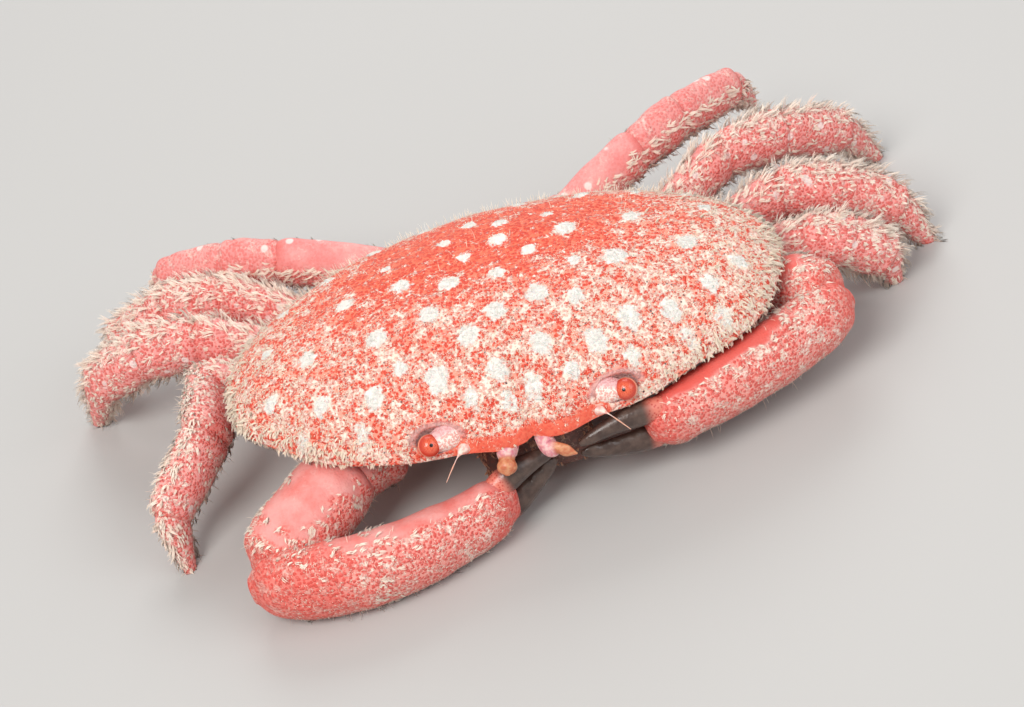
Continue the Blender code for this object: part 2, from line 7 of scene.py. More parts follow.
import math
from collections import namedtuple
from functools import cached_property

import bpy
import numpy as np
from mathutils import Matrix, Vector


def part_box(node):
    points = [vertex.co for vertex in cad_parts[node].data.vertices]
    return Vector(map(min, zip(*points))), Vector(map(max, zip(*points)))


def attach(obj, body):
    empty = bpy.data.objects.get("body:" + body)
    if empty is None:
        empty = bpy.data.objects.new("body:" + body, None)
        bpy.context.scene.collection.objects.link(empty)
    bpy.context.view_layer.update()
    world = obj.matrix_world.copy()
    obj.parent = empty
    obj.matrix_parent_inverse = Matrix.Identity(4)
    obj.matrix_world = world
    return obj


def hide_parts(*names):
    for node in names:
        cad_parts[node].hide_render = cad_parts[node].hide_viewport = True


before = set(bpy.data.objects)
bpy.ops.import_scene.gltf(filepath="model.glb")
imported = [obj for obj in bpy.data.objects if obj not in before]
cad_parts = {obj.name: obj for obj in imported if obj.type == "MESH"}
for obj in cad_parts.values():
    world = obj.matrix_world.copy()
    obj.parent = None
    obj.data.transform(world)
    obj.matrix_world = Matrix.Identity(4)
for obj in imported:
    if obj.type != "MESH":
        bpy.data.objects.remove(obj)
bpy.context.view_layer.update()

MM = 0.001
SEED = 7
LEFT, RIGHT = "left", "right"
SIGN = {LEFT: 1.0, RIGHT: -1.0}
UP = (0, 0, 1)

# Shell of the back, as in the solids
HALF_BREADTH = 19.0
FRONT_LENGTH = 10.9
BACK_LENGTH = 11.8
FRONT_POWER = 2.35
BACK_POWER = 1.9
SIDE_Z = 8.6
FRONT_DROP = 1.7
BACK_DROP = 0.9
DROP_POWER = 2.4
TOP_Z = 13.7
DOME_POWER = 2.3
DOME_ROUNDNESS = 0.60
LOBE_DEPTH = 0.014
LOBE_TURNS = 8
LOBE_FADE = 2.0
BROW_REACH = 0.6
BROW_X = 2.1
BROW_WIDTH = 1.7
SPLIT_Z = 6.4
SHELL_UNDER = ((0.0, 1.0, 0.0), (0.25, 0.99, 0.16), (0.5, 0.95, 0.45), (0.75, 0.88, 0.8), (1.0, 0.80, 1.0))

# Surface of the shell: its grid, its swells as height and size, and the furrow between its front lobes
SHELL_COLUMNS = 520
SHELL_TOP_ROWS = 120
SHELL_UNDER_ROWS = 30
FIRST_ROW = 0.012
FRONT_CROWDING = 0.5
SWELLS = (0.09, 5.0)
FINE_SWELLS = (0.02, 1.3)
FURROW_DEPTH = 0.22
FURROW_HALF = 0.34
FURROW_FRONT = (6.5, 9.0)

# Pale spots of the back: place in plan and radius
SPOTS = (
    (-12.8, -3.0, 0.47), (-15.9, -4.5, 0.40), (-15.5, -0.2, 0.33), (-12.6, -6.6, 0.40), (-9.1, -7.7, 0.47),
    (-14.4, -7.4, 0.33), (-10.5, -9.0, 0.40), (-8.0, -4.1, 0.53), (-9.6, 0.5, 0.47), (-5.7, -0.1, 0.47),
    (-6.5, 2.8, 0.27), (-4.3, -3.7, 0.47), (-4.9, -7.9, 0.60), (-7.0, -6.7, 0.33), (-3.1, -9.5, 0.40),
    (-2.2, -6.1, 0.53), (-0.1, -5.0, 0.53), (-1.2, 1.0, 0.33), (-2.6, -1.4, 0.53), (-2.3, 3.3, 0.33),
    (-0.4, 5.3, 0.40), (1.6, 4.0, 0.40), (1.2, 1.9, 0.47), (0.6, -1.8, 0.40), (-1.0, -8.6, 0.53),
    (-0.8, -10.2, 0.40), (2.1, -7.9, 0.53), (2.8, -4.5, 0.53), (5.1, -5.4, 0.40), (3.0, -0.2, 0.40),
    (5.6, -2.6, 0.33), (5.7, 1.1, 0.53), (4.8, 3.9, 0.27), (5.5, -8.3, 0.53), (3.6, -9.5, 0.40),
    (0.9, -9.9, 0.50), (8.3, -2.9, 0.60), (10.1, 1.4, 0.47), (13.0, -2.3, 0.47), (15.0, 1.9, 0.33),
    (15.9, -4.0, 0.40), (13.6, -5.8, 0.40), (8.0, -7.3, 0.53), (10.7, -7.2, 0.47), (7.5, -9.3, 0.40),
    (13.8, -7.6, 0.40), (11.3, -8.6, 0.40), (-3.4, 7.9, 0.40), (3.2, 7.4, 0.40), (0.2, 9.2, 0.33),
    (-7.2, 7.0, 0.40), (7.4, 6.2, 0.40), (-10.6, 5.0, 0.33), (10.9, 5.2, 0.33), (-5.4, 9.5, 0.27),
    (6.0, 9.0, 0.33), (-13.9, 3.6, 0.33), (14.2, 4.6, 0.27),
)
SPOT_RISE = 0.07
SPOT_RAGGED = (0.10, 0.5)
SPOT_EDGE = (0.6, 1.9)
SPOT_LOWEST_Z = 7.5
FRONT_SPOTS_FADE = 0.25
EDGE_SPOTS_FADE = 0.45

# Scurf and down over the back: how much there is, how much the clean middle loses, and how patchy it is
BACK_COVER = 0.88
CLEAN_LOSS = 0.96
CLEAN_CENTRE = (1.0, 2.8)
CLEAN_HALF = (12.5, 6.0)
COVER_PATCHES = (0.16, 2.6)
COVER_TO_LEFT = 0.12
BARE_RIM = (0.968, 0.992)
BARE_RIM_X = (4.5, 6.0)
BARE_RIM_LOSS = 0.85

# Underside of the body
THORAX_LEVELS = ((6.3, 0.74), (5.6, 0.70), (5.0, 0.66), (3.4, 0.56), (2.2, 0.47), (1.7, 0.40), (1.62, 0.2))
THORAX_BACK = 0.6
THORAX_GROOVES = {"turns": 0.95, "width": 0.16, "depth": 0.14, "begin": (0.3, 0.7)}
ABDOMEN = (
    (9.6, 5.4, 3.2), (8.8, 3.8, 3.6), (7.6, 2.3, 3.4), (6.0, 1.3, 3.0), (4.0, 1.02, 2.5),
    (1.6, 1.02, 2.1), (-0.6, 1.02, 1.8), (-1.8, 1.02, 1.0),
)
ABDOMEN_HALF = 0.36
ABDOMEN_LEAN = (0, 0.7, -1)
ABDOMEN_GROOVES = {"turns": 7, "width": 0.22, "depth": 0.10, "first": 0.06, "last": 0.95}
MOUTH_PLATE_LOW = (1.95, -7.9, 1.9)
MOUTH_PLATE_TOP = (1.95, -8.4, 6.0)
MOUTH_PLATE_HALF = (1.7, 0.55)

# Eye sockets of the crab's left side, as shares of the socket's half sizes where they go round it
ORBIT_CENTRE = (5.98, -10.25, 8.28)
ORBIT_HALF = (1.36, 0.86)
ORBIT_DEPTH = 0.75
ORBIT_REACH = 2.0
LID_RISE = 0.07
LID_PLACE = 1.2
LID_WIDTH = 0.2
LID_END = (1.25, 1.55)

# Eyes and feelers of the crab's left side
CORNEA_CENTRE = (6.55, -10.45, 8.2)
CORNEA_RADIUS = 0.74
CORNEA_BEZEL = {"height": 0.02, "tilt": 1.25, "width": 0.09}
EYE_FACE = (0.10, -0.80, 0.58)
PUPIL_FACE = (-0.26, -0.78, 0.57)
STALK_ROOT = (4.6, -9.5, 8.02)
STALK_HALF = 0.90
STALK_FORM = ((0.0, 0.5), (0.06, 0.8), (0.25, 1.0), (0.45, 1.0), (0.65, 0.84), (0.8, 0.72), (1.0, 0.6))
ANTENNULES = {
    RIGHT: (
        (-1.2, -9.4, 6.7), (-1.65, -10.6, 6.6), (-1.95, -11.15, 6.38), (-2.05, -11.5, 6.12),
        (-2.12, -11.75, 5.95), (-2.2, -12.1, 5.7), (-2.24, -12.25, 5.6),
    ),
    LEFT: (
        (0.55, -9.4, 6.6), (0.6, -10.7, 6.5), (0.9, -11.6, 6.15), (1.35, -12.0, 6.35), (1.8, -12.2, 6.1),
        (2.4, -12.4, 5.8),
    ),
}
ANTENNULE_HALVES = {
    RIGHT: ((0.5, 0.5), (0.72, 0.64), (0.76, 0.64), (0.54, 0.52), (0.66, 0.64), (0.5, 0.5), (0.2, 0.2)),
    LEFT: ((0.44, 0.44), (0.64, 0.58), (0.62, 0.54), (0.40, 0.32), (0.46, 0.27), (0.06, 0.06)),
}
ANTENNA = ((3.7, -9.6, 6.9), (4.6, -10.75, 7.35), (4.9, -11.1, 7.3), (5.5, -11.7, 6.9), (6.1, -12.3, 6.4))
ANTENNA_HALVES = (0.34, 0.34, 0.09, 0.05, 0.025)

# Meshing of the pieces, as places round and places along, and a limb piece's share of its unwrap
LIMB_COLUMNS = 44
LIMB_ROWS = 46
CLAW_MESHING = {"merus": (64, 60), "carpus": (72, 60), "palm": (84, 90)}
FINGER_MESHING = (36, 80)
THORAX_MESHING = (160, 50)
ABDOMEN_MESHING = (60, 120)
CORNEA_MESHING = (72, 60)
CORNEA_POLE_TILT = 0.02
STALK_MESHING = {"columns": 64, "rows": 60}
SMALL_FEELER_MESHING = (40, 60)
LONG_FEELER_MESHING = (28, 60)
LEG_ROOT_MESHING = {"columns": 32, "rows": 24}
UNWRAP_MARGIN = 0.04
UNWRAP_SHARE = 0.92

# Walking legs, as in the solids
LEG_ROOT = {2: (9.6, 1.4, 4.0), 3: (9.4, 4.6, 4.1), 4: (8.0, 7.2, 4.4), 5: (3.2, 9.8, 7.0)}
LEG_POSE = {
    (RIGHT, 2): ((-20.4, 5.4, 7.0), (-21.2, -0.3, 6.5), (-24.9, -3.7, 3.7), (-24.7, -5.6, -0.3)),
    (RIGHT, 3): ((-20.8, 9.2, 7.7), (-24.8, 10.2, 7.1), (-28.8, 11.8, 4.8), (-30.6, 14.0, -0.3)),
    (RIGHT, 4): ((-18.6, 13.2, 7.8), (-22.6, 15.0, 7.0), (-27.2, 17.2, 4.2), (-29.4, 19.2, -0.3)),
    (RIGHT, 5): ((-14.0, 14.0, 8.9), (-17.6, 15.8, 8.8), (-22.6, 18.2, 7.6), (-24.0, 20.6, 4.6)),
    (LEFT, 2): ((21.0, 2.9, 6.0), (23.8, 3.0, 4.9), (26.2, 3.2, 2.8), (26.9, 3.6, -0.3)),
    (LEFT, 3): ((20.6, 7.2, 7.4), (24.4, 7.4, 6.3), (28.3, 7.2, 3.5), (30.2, 7.0, -0.3)),
    (LEFT, 4): ((17.8, 12.8, 8.0), (22.2, 14.6, 7.2), (27.0, 16.8, 4.4), (29.6, 18.8, -0.3)),
    (LEFT, 5): ((12.2, 14.6, 9.2), (15.5, 16.8, 9.4), (20.2, 20.1, 8.6), (21.8, 22.3, 5.3)),
}
LEG_SCALE = {2: 1.0, 3: 1.0, 4: 0.94, 5: 0.92}
LEG_PARTS = ("merus", "carpus", "propodus", "dactylus")
LEG_HALF = {"merus": (1.85, 1.3), "carpus": (1.95, 1.45), "propodus": (1.85, 1.4), "dactylus": (1.25, 0.95)}
LEG_LEAN = 0.7
COXA_HALF = (1.9, 1.5)
COXA_PATH = (0.6, 4.0)
HIND_LEG = 5
RAISED_LEG = (RIGHT, 2)

# A leg's smooth side: the way it faces on the crab's left, the limits of its edge, and for the hind leg
# the limits of the smooth upper side and how smooth that is
LEG_SMOOTH_WAY = (-1, -0.6, 0.5)
LEG_SMOOTH_EDGE = (0.45, 0.85)
HIND_SMOOTH_EDGE = (-0.1, 0.4)
HIND_SMOOTH = {"merus": 0.85, "beyond": 0.5}

# Scurf of the legs and claws: how much there is, what edges and smooth sides change, and how patchy it is
LEG_COVER = {"flat": 0.22, "edge": 0.55, "smooth_loss": 0.8}
LEG_PATCHES = (0.2, 1.2)
# Painted shade: limits of how far a leg faces the floor before it darkens
LEG_PAINTED_SHADE = (0.2, 0.9)
CLAW_COVER = {"least": 0.02, "rough": 0.42, "smooth_loss": 0.4, "patches": 3}
CLAW_PATCHES = (0.05, 1.6)
# Painted shade: limits of how far a claw faces the floor before it darkens
CLAW_PAINTED_SHADE = (0.35, 0.95)

# Claws, as in the solids
CLAW_POSE = {
    RIGHT: (
        (-8.8, -5.0, 4.4), (-13.6, -7.4, 4.7), (-18.0, -11.0, 3.46),
        (-2.87, -10.84, 2.5), (0.93, -9.75, 4.15),
    ),
    LEFT: ((8.8, -3.6, 4.2), (17.0, 0.2, 5.1), (20.6, -2.7, 5.5), (7.9, -9.8, 4.2), (2.7, -10.5, 4.6)),
}
CLAW_PARTS = ("merus", "carpus", "palm")
CLAW_HALF = {"merus": (2.0, 1.8), "carpus": (2.75, 2.75), "palm": (2.85, 2.2)}
CLAW_SCALE = {RIGHT: 1.0, LEFT: 0.9}
CLAW_LEAN = (0, -0.25, 1)
CLAW_CREST = 0.02
MERUS_PAST_ELBOW = 0.8
CARPUS_BEFORE_ELBOW = 2.0
CARPUS_PAST_WRIST = 1.4
PALM_BEFORE_WRIST = 2.0
PALM_PAST_KNUCKLE = 0.4
PALM_FRONT = 1.9
PALM_DROP = 0.8
PALM_BOW = {RIGHT: 2.0, LEFT: 0.5}
FINGER_HALF = (1.0, 0.85)
FINGER_SPREAD = 0.504
FINGER_SINK = 0.6
FINGER_BOW = {"fixed": -0.25, "movable": 0.35}
FINGER_TIP = 0.3
FINGER_GAP = 0.16
FINGER_POINTS = 9
TOOTH_HEIGHT = 0.13
TOOTH_COUNT = 5
TOOTH_WIDTH = 0.6
TOOTH_ROW = (0.2, 0.97)

# The smooth side of each claw part: the way it faces, and the limits of its edge
SMOOTH_SIDE = {
    RIGHT: {
        "merus": ((0, 0.2, 1), 0.10, 0.40),
        "carpus": ((0.55, 0.25, 0.80), 0.34, 0.56),
        "palm": ((0.14, 0.58, 0.80), 0.30, 0.52),
    },
    LEFT: {
        "merus": ((0, 0.2, 1), 0.85, 0.98),
        "carpus": ((-0.6, 0.30, 0.75), 0.62, 0.82),
        "palm": ((-0.38, 0.54, 0.75), 0.18, 0.40),
    },
}

# Along a palm, as shares of its length: where its granular heel gives way to the smooth side,
# where the redder heel of the lowered palm ends, and the ring of tufts round that palm
HEEL_END = {RIGHT: (0.22, 0.42), LEFT: (0.20, 0.46)}
RED_HEEL_END = (0.25, 0.45)
RIDGE_PLACE = 0.46
RIDGE_WIDTH = 0.03

# Lengthwise forms: place along the piece and share of its full section there
ROUND_ENDS = ((0.0, 0.5), (0.05, 0.76), (0.2, 0.96), (0.5, 1.0), (0.8, 0.97), (0.95, 0.74), (1.0, 0.45))
FORM = {
    "merus": ((0.0, 0.55), (0.07, 0.8), (0.35, 0.93), (0.75, 1.04), (0.94, 0.9), (1.0, 0.5)),
    "carpus": ((0.0, 0.5), (0.1, 0.82), (0.4, 0.98), (0.75, 1.02), (0.93, 0.84), (1.0, 0.45)),
    "propodus": ((0.0, 0.5), (0.08, 0.84), (0.35, 1.0), (0.75, 0.93), (0.94, 0.74), (1.0, 0.42)),
    "dactylus": ((0.0, 0.55), (0.1, 0.92), (0.3, 0.98), (0.6, 0.72), (0.88, 0.44), (1.0, 0.34)),
    "palm": (
        (0.0, 0.42), (0.03, 0.68), (0.1, 0.9), (0.25, 1.0),
        (0.5, 0.98), (0.8, 0.86), (0.96, 0.7), (1.0, 0.5),
    ),
    "finger": ((0.0, 0.9), (0.2, 1.0), (0.5, 0.82), (0.78, 0.58), (0.94, 0.4), (1.0, 0.22)),
}
OVERLAP = {"merus": (0.1, 0.9), "carpus": (0.7, 0.8), "propodus": (0.7, 0.7), "dactylus": (0.55, 0.0)}
CREST = 0.06
CREST_WIDTH = 0.45
LUMPS = (0.035, 1.7)
CAP_SHARES = np.linspace(1.0, 0.05, 6)[1:]
LIMB_CAP = 0.35
BENT_CAP = 0.4

# Bristles: how many to a tuft, their shortest and longest length and half width in millimetres, their
# rise off the surface and droop, how far tufts turn from their lie, how closely the bristles of a tuft
# keep together, and their bends
Bristle = namedtuple("Bristle", "count length half rise droop turn clump bends")
SHORT_CURLS = Bristle(2, (0.13, 0.32), 0.028, 0.24, 0.12, 0.9, 0.3, 2)
SPOT_CURLS = Bristle(3, (0.10, 0.24), 0.028, 0.55, 0.2, 1.3, 0.2, 2)
EDGE_BRISTLES = Bristle(5, (0.36, 0.98), 0.042, 0.50, 0.22, 0.4, 0.86, 2)
STANDING_HAIRS = Bristle(1, (0.45, 0.95), 0.022, 0.85, 0.15, 0.9, 0.5, 3)
LEG_FUZZ = Bristle(6, (0.34, 0.72), 0.036, 0.38, 0.20, 0.4, 0.82, 2)
LEG_BRISTLES = Bristle(6, (0.55, 1.15), 0.042, 0.55, 0.26, 0.3, 0.82, 2)
LONG_BRISTLES = Bristle(5, (0.65, 1.75), 0.030, 0.66, 0.24, 0.3, 0.66, 3)
CLAW_FUZZ = Bristle(2, (0.12, 0.30), 0.030, 0.30, 0.12, 0.9, 0.4, 2)
CLAW_BRISTLES = Bristle(5, (0.36, 0.80), 0.044, 0.44, 0.2, 0.4, 0.7, 2)
BRISTLE_VARIES = (0.8, 1.05)
RISE_VARIES = 0.15
TIPS_TOGETHER = 0.75
TUFT_SPREAD = 0.10
TAPER = 0.5
FLATNESS = 0.7
BRISTLE_ROUNDNESS = 0.5
SINK = 0.10
OFBAKE_PATCH = 0.003
FLOOR_CLEAR = 0.02

# Tufts: how many each piece of the coat has, how big they are in the middle and what the sides and the
# front change, and how far the fuzz and the longer bristles of a limb stand out
BACK_CURL_PIECES = 2
BACK_CURLS = 6000
SPOT_TUFTS = 2300
EDGE_TUFTS = 1600
BACK_HAIRS = 900
LIMB_HAIRS = 380
LEG_TUFTS = (760, 560)
CLAW_TUFTS = (2600, 620)
MOUTH_TUFTS = 200
MOUTH_TUFT_SIZE = 0.7
CURL_SIZES = {"middle": 0.75, "sides": 0.55}
EDGE_SIZES = {"middle": 0.6, "sides": 0.5, "front": -0.25}
LIMB_SIZES = (0.8, 1.15)
LIMB_TUFTS_OUT = (0.15, 0.5)

# Finishes: granules per millimetre, relief in millimetres, and how light comes back out of a plate,
# as amount, depth in millimetres and tint
GRANULES_PER_MM = {"shell": 4.2, "limb": 4.8, "underside": 2.6, "stalk": 6.5}
RELIEF = {
    "shell": 0.075, "limb": 0.055, "underside": 0.03, "horn": 0.02, "cornea": 0.008, "skin": 0.03,
    "bristle": 0.003,
}
GLOW = {
    "shell": (0.18, 0.5, (1.0, 0.35, 0.25)),
    "limb": (0.22, 0.6, (1.0, 0.4, 0.32)),
    "underside": (0.15, 0.5, (1.0, 0.45, 0.35)),
    "stalk": (0.2, 0.4, (1.0, 0.5, 0.4)),
    "feeler": (0.35, 0.6, (1.0, 0.5, 0.35)),
}

# Stage, in metres: lamps by place, size, power and colour
FLOOR_REACH = 1.5
LAMPS = {
    "key": ((-0.20, -0.30, 0.40), 0.26, 2.1, (1.0, 0.98, 0.95)),
    "fill": ((0.35, -0.22, 0.25), 0.35, 0.75, (0.94, 0.97, 1.0)),
    "rear": ((0.05, 0.38, 0.30), 0.30, 1.0, (1.0, 1.0, 1.0)),
}
SKY_COLOUR = (0.92, 0.90, 0.89, 1)
SKY_STRENGTH = 0.50

# Camera, from the photograph's own viewing angle
VIEW_AZIMUTH = 1.4
VIEW_ELEVATION = 36.0
VIEW_ROLL = 17.0
VIEW_DISTANCE = 189.0
VIEW_LENS = 100.0
SENSOR = 36.0
IMAGE = (1024, 707)
AIM = (0.0, 0.0, 9.5)
AIM_PIXEL = (499, 310)
CLIP_START = 0.005


def paint(red, green, blue):
    """A colour as seen, in 0 to 255, turned into the linear one that shaders mix."""
    shares = [c / 255 for c in (red, green, blue)]
    return (*[s / 12.92 if s <= 0.04045 else ((s + 0.055) / 1.055) ** 2.4 for s in shares], 1.0)


def palette(**colours):
    """The named colours of one finish, each given as seen."""
    return {name: paint(*colour) for name, colour in colours.items()}


# Colours of each finish
DARK_SPECK = paint(84, 66, 70)
# Painted shade: the shell's darker colour for the underside of its edge
SHELL_COLOURS = palette(
    granule=(228, 70, 46), between=(240, 116, 86), pale=(251, 230, 214), spot=(244, 239, 232),
    rim=(230, 104, 80), below=(204, 92, 72), mauve=(190, 148, 144), pale_mauve=(226, 182, 176),
)
# Painted shade: the limbs' darker colour for sides that face the floor
LIMB_COLOURS = palette(
    pale=(250, 222, 208), dot=(250, 232, 226), joint=(224, 78, 64), below=(182, 112, 100)
)
LEG_COLOURS = LIMB_COLOURS | palette(
    granule=(228, 108, 100), between=(240, 158, 152), smooth=(230, 134, 132), blotch=(240, 176, 172)
)
CLAW_COLOURS = LIMB_COLOURS | palette(
    granule=(224, 92, 82), between=(238, 148, 138), smooth=(234, 166, 160), blotch=(228, 118, 110)
)
# Painted shade for the grooves of the underside
GROOVE_SHADE_COLOUR = palette(groove=(112, 62, 54))
UNDERSIDE_COLOURS = GROOVE_SHADE_COLOUR | palette(
    granule=(190, 100, 84), between=(202, 126, 108), pale=(222, 178, 156)
)
# Painted shade: the mouth plates are made dark for the shade under the front
MOUTH_SHADE_COLOURS = GROOVE_SHADE_COLOUR | palette(
    granule=(112, 66, 56), between=(96, 66, 60), pale=(150, 116, 104)
)
HORN_COLOURS = palette(dark=(66, 49, 43), grey=(92, 73, 64), red=(196, 70, 58), pink=(224, 128, 110))
CORNEA_COLOURS = palette(
    net=(206, 62, 38), facet=(230, 106, 74), flank=(202, 62, 42), ring=(238, 158, 128),
    back=(170, 110, 108), pupil=(26, 12, 12),
)
STALK_COLOURS = palette(skin=(250, 232, 222), fleck=(234, 124, 110), above=(228, 168, 172))
FEELER_COLOURS = palette(
    mauve=(214, 134, 146), pale_mauve=(238, 196, 190), pink=(232, 164, 152), pale_pink=(248, 222, 210),
    tan=(196, 112, 78), pale_tan=(214, 152, 112), thin_end=(222, 160, 138),
)
SPOT_BRISTLE = palette(spot=(250, 246, 238))
SHELL_BRISTLES = SPOT_BRISTLE | palette(
    root=(244, 176, 152), shaft=(252, 228, 204), tip=(254, 242, 222), dirt=(232, 208, 178)
)
LIMB_BRISTLES = SPOT_BRISTLE | palette(
    root=(244, 164, 150), shaft=(253, 228, 210), tip=(254, 242, 226), dirt=(248, 212, 192)
)
# Painted shade: the mouth bristles are made dark for the shade under the front
MOUTH_SHADE_BRISTLES = SPOT_BRISTLE | palette(
    root=(150, 84, 66), shaft=(178, 120, 92), tip=(206, 160, 126), dirt=(140, 96, 76)
)
FLOOR_COLOURS = palette(low=(186, 185, 183), high=(193, 192, 190))


def unit(vectors):
    return vectors / np.maximum(np.linalg.norm(vectors, axis=-1, keepdims=True), 1e-9)


def step(values, low, high):
    """Smooth climb from 0 at the low value to 1 at the high one."""
    t = np.clip((values - low) / (high - low), 0, 1)
    return t * t * (3 - 2 * t)


def bump(values, middle, width):
    """A round hump of height 1 over its middle value."""
    return np.exp(-(((values - middle) / width) ** 2))


def eased(rows, at):
    """Smooth values at places along a table of (place, value) rows."""
    xs, ys = np.array(rows, float).T
    slopes = np.gradient(ys, xs)
    k = np.clip(np.searchsorted(xs, at, side="right") - 1, 0, len(xs) - 2)
    span = xs[k + 1] - xs[k]
    t = (at - xs[k]) / span
    rise = (3 - 2 * t) * t * t
    bends = (t**3 - 2 * t**2 + t) * slopes[k] + (t**3 - t**2) * slopes[k + 1]
    return ys[k] + (ys[k + 1] - ys[k]) * rise + span * bends


def ripple(points, size, seed):
    """Soft waves of about one size over any set of points, mostly between -1 and 1."""
    chance = np.random.default_rng(seed)
    total = np.zeros(points.shape[:-1])
    for _ in range(7):
        lean = unit(chance.normal(size=3)) * 2 * math.pi / (size * chance.uniform(0.7, 1.4))
        total += np.sin(points @ lean + chance.uniform(0, 2 * math.pi))
    return total / 3.5


def angles_round(columns):
    """Angles round a ring, from 0 up to a full turn."""
    return np.linspace(0, 2 * math.pi, columns, endpoint=False)


def mirrored(point, side):
    return (SIGN[side] * point[0], point[1], point[2])


def place_of_solids():
    """Where the crab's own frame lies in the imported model, read from the two corneas."""
    middles = [sum((Vector(c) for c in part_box(f"cornea_{side}")), Vector()) / 2 for side in (LEFT, RIGHT)]
    return (middles[0] + middles[1]) / 2 - Vector((0, CORNEA_CENTRE[1], CORNEA_CENTRE[2])) * MM


ORIGIN = np.array(place_of_solids())


def normals_of(points):
    """Outward unit normals of a grid surface whose columns close on themselves."""
    along = np.gradient(points, axis=0)
    around = np.roll(points, -1, axis=1) - np.roll(points, 1, axis=1)
    normal = unit(np.cross(along, around))
    outward = points - points.reshape(-1, 3).mean(axis=0)
    return normal if (normal * outward).sum() > 0 else -normal


def with_marks(grid, **marks):
    """The same grid with more marks on it, which its materials and bristles read."""
    shape = grid["points"].shape[:2]
    for name, mark in marks.items():
        grid["marks"][name] = np.broadcast_to(np.asarray(mark, float), shape)
    return grid


def as_grid(points, unwrap, **marks):
    """A grid surface with its normals, its unwrap and its marks."""
    grid = {"points": points, "normals": normals_of(points), "unwrap": unwrap, "marks": {}}
    return with_marks(grid, **marks)


# Meshes


def new_object(name, mesh, nodes=()):
    """Links a finished mesh as one piece of the crab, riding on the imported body."""
    made = bpy.data.objects.new(name, mesh)
    bpy.context.scene.collection.objects.link(made)
    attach(made, "root")
    if nodes:
        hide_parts(*nodes)
    return made


def turned_step(points):
    """From each place of a grid to the next one round its ring."""
    return (np.roll(points, -1, axis=1) - points)[:-1]


def add_attributes(mesh, values):
    """Writes named values, one for each vertex, for the materials to read."""
    for name, parts in values.items():
        layer = mesh.attributes.new(name, "FLOAT", "POINT")
        layer.data.foreach_set("value", np.concatenate(parts).astype(np.float32))


def plate(name, grids, nodes=()):
    """One closed, smooth piece from (grid, material) pairs, each grid ending in a pole at both ends."""
    verts, faces, looks, marks = [], [], [], {}
    names = sorted({mark for grid, _ in grids for mark in grid["marks"]})
    mesh = bpy.data.meshes.new(name)
    for grid, material in grids:
        points = grid["points"]
        rows, columns = points.shape[:2]
        base = sum(len(v) for v in verts)
        poles = np.array([points[0].mean(axis=0), points[-1].mean(axis=0)])
        verts.append(np.concatenate([points.reshape(-1, 3), poles]))
        index = base + np.arange(rows * columns).reshape(rows, columns)
        turned = np.roll(index, -1, axis=1)
        quads = np.stack([index[:-1], turned[:-1], turned[1:], index[1:]], axis=-1).reshape(-1, 4)
        low, top = base + rows * columns, base + rows * columns + 1
        made = [tuple(q) for q in quads.tolist()]
        made += [(low, b, a) for a, b in zip(index[0].tolist(), turned[0].tolist())]
        made += [(top, a, b) for a, b in zip(index[-1].tolist(), turned[-1].tolist())]
        outward = (np.cross(points[1:] - points[:-1], turned_step(points)) * grid["normals"][:-1]).sum() < 0
        faces += made if outward else [face[::-1] for face in made]
        looks += [len(mesh.materials)] * len(made)
        mesh.materials.append(material)
        for mark in names:
            values = grid["marks"].get(mark, np.zeros((rows, columns)))
            ends = [values[0].mean(), values[-1].mean()]
            marks.setdefault(mark, []).append(np.concatenate([values.ravel(), ends]))
    verts = np.concatenate(verts)
    verts[:, 2] = np.maximum(verts[:, 2], 0)
    mesh.from_pydata((verts * MM + ORIGIN).tolist(), [], faces)
    mesh.polygons.foreach_set("material_index", looks)
    add_attributes(mesh, marks)
    mesh.shade_smooth()
    mesh.update()
    return new_object(name, mesh, nodes)


def scatter(grid, count, density, chance):
    """Places picked at random on a grid, closer together where the density is high."""
    points = grid["points"]
    area = np.linalg.norm(np.cross(turned_step(points), points[1:] - points[:-1]), axis=-1)
    shares = np.cumsum((area * density[:-1]).ravel())
    picks = np.searchsorted(shares, chance.random(count) * shares[-1])
    row, column = np.unravel_index(np.minimum(picks, area.size - 1), area.shape)
    beside = (column + 1) % points.shape[1]
    u, v = chance.random((2, count, 1))

    def within(field):
        low = field[row, column] * (1 - u) + field[row, beside] * u
        high = field[row + 1, column] * (1 - u) + field[row + 1, beside] * u
        return low * (1 - v) + high * v

    spot = grid["marks"].get("spot", np.zeros(points.shape[:2]))
    return {
        "root": within(points),
        "outward": unit(within(grid["normals"])),
        "run": unit(within(np.gradient(points, axis=0))),
        "unwrap": grid["unwrap"][row, column],
        "spot": spot[row, column],
    }


def bristle_faces(bends):
    """Triangles of one three-sided bristle: its root, its sides between the bends, and its tip."""
    ring = np.arange(3)
    beside = (ring + 1) % 3
    faces = [np.array([[0, 2, 1]])]
    for k in range(bends - 1):
        low, high = 3 * k, 3 * k + 3
        faces.append(np.stack([low + ring, low + beside, high + beside], axis=1))
        faces.append(np.stack([low + ring, high + beside, high + ring], axis=1))
    last = 3 * (bends - 1)
    faces.append(np.stack([last + ring, last + beside, np.full(3, 3 * bends)], axis=1))
    return np.concatenate(faces)


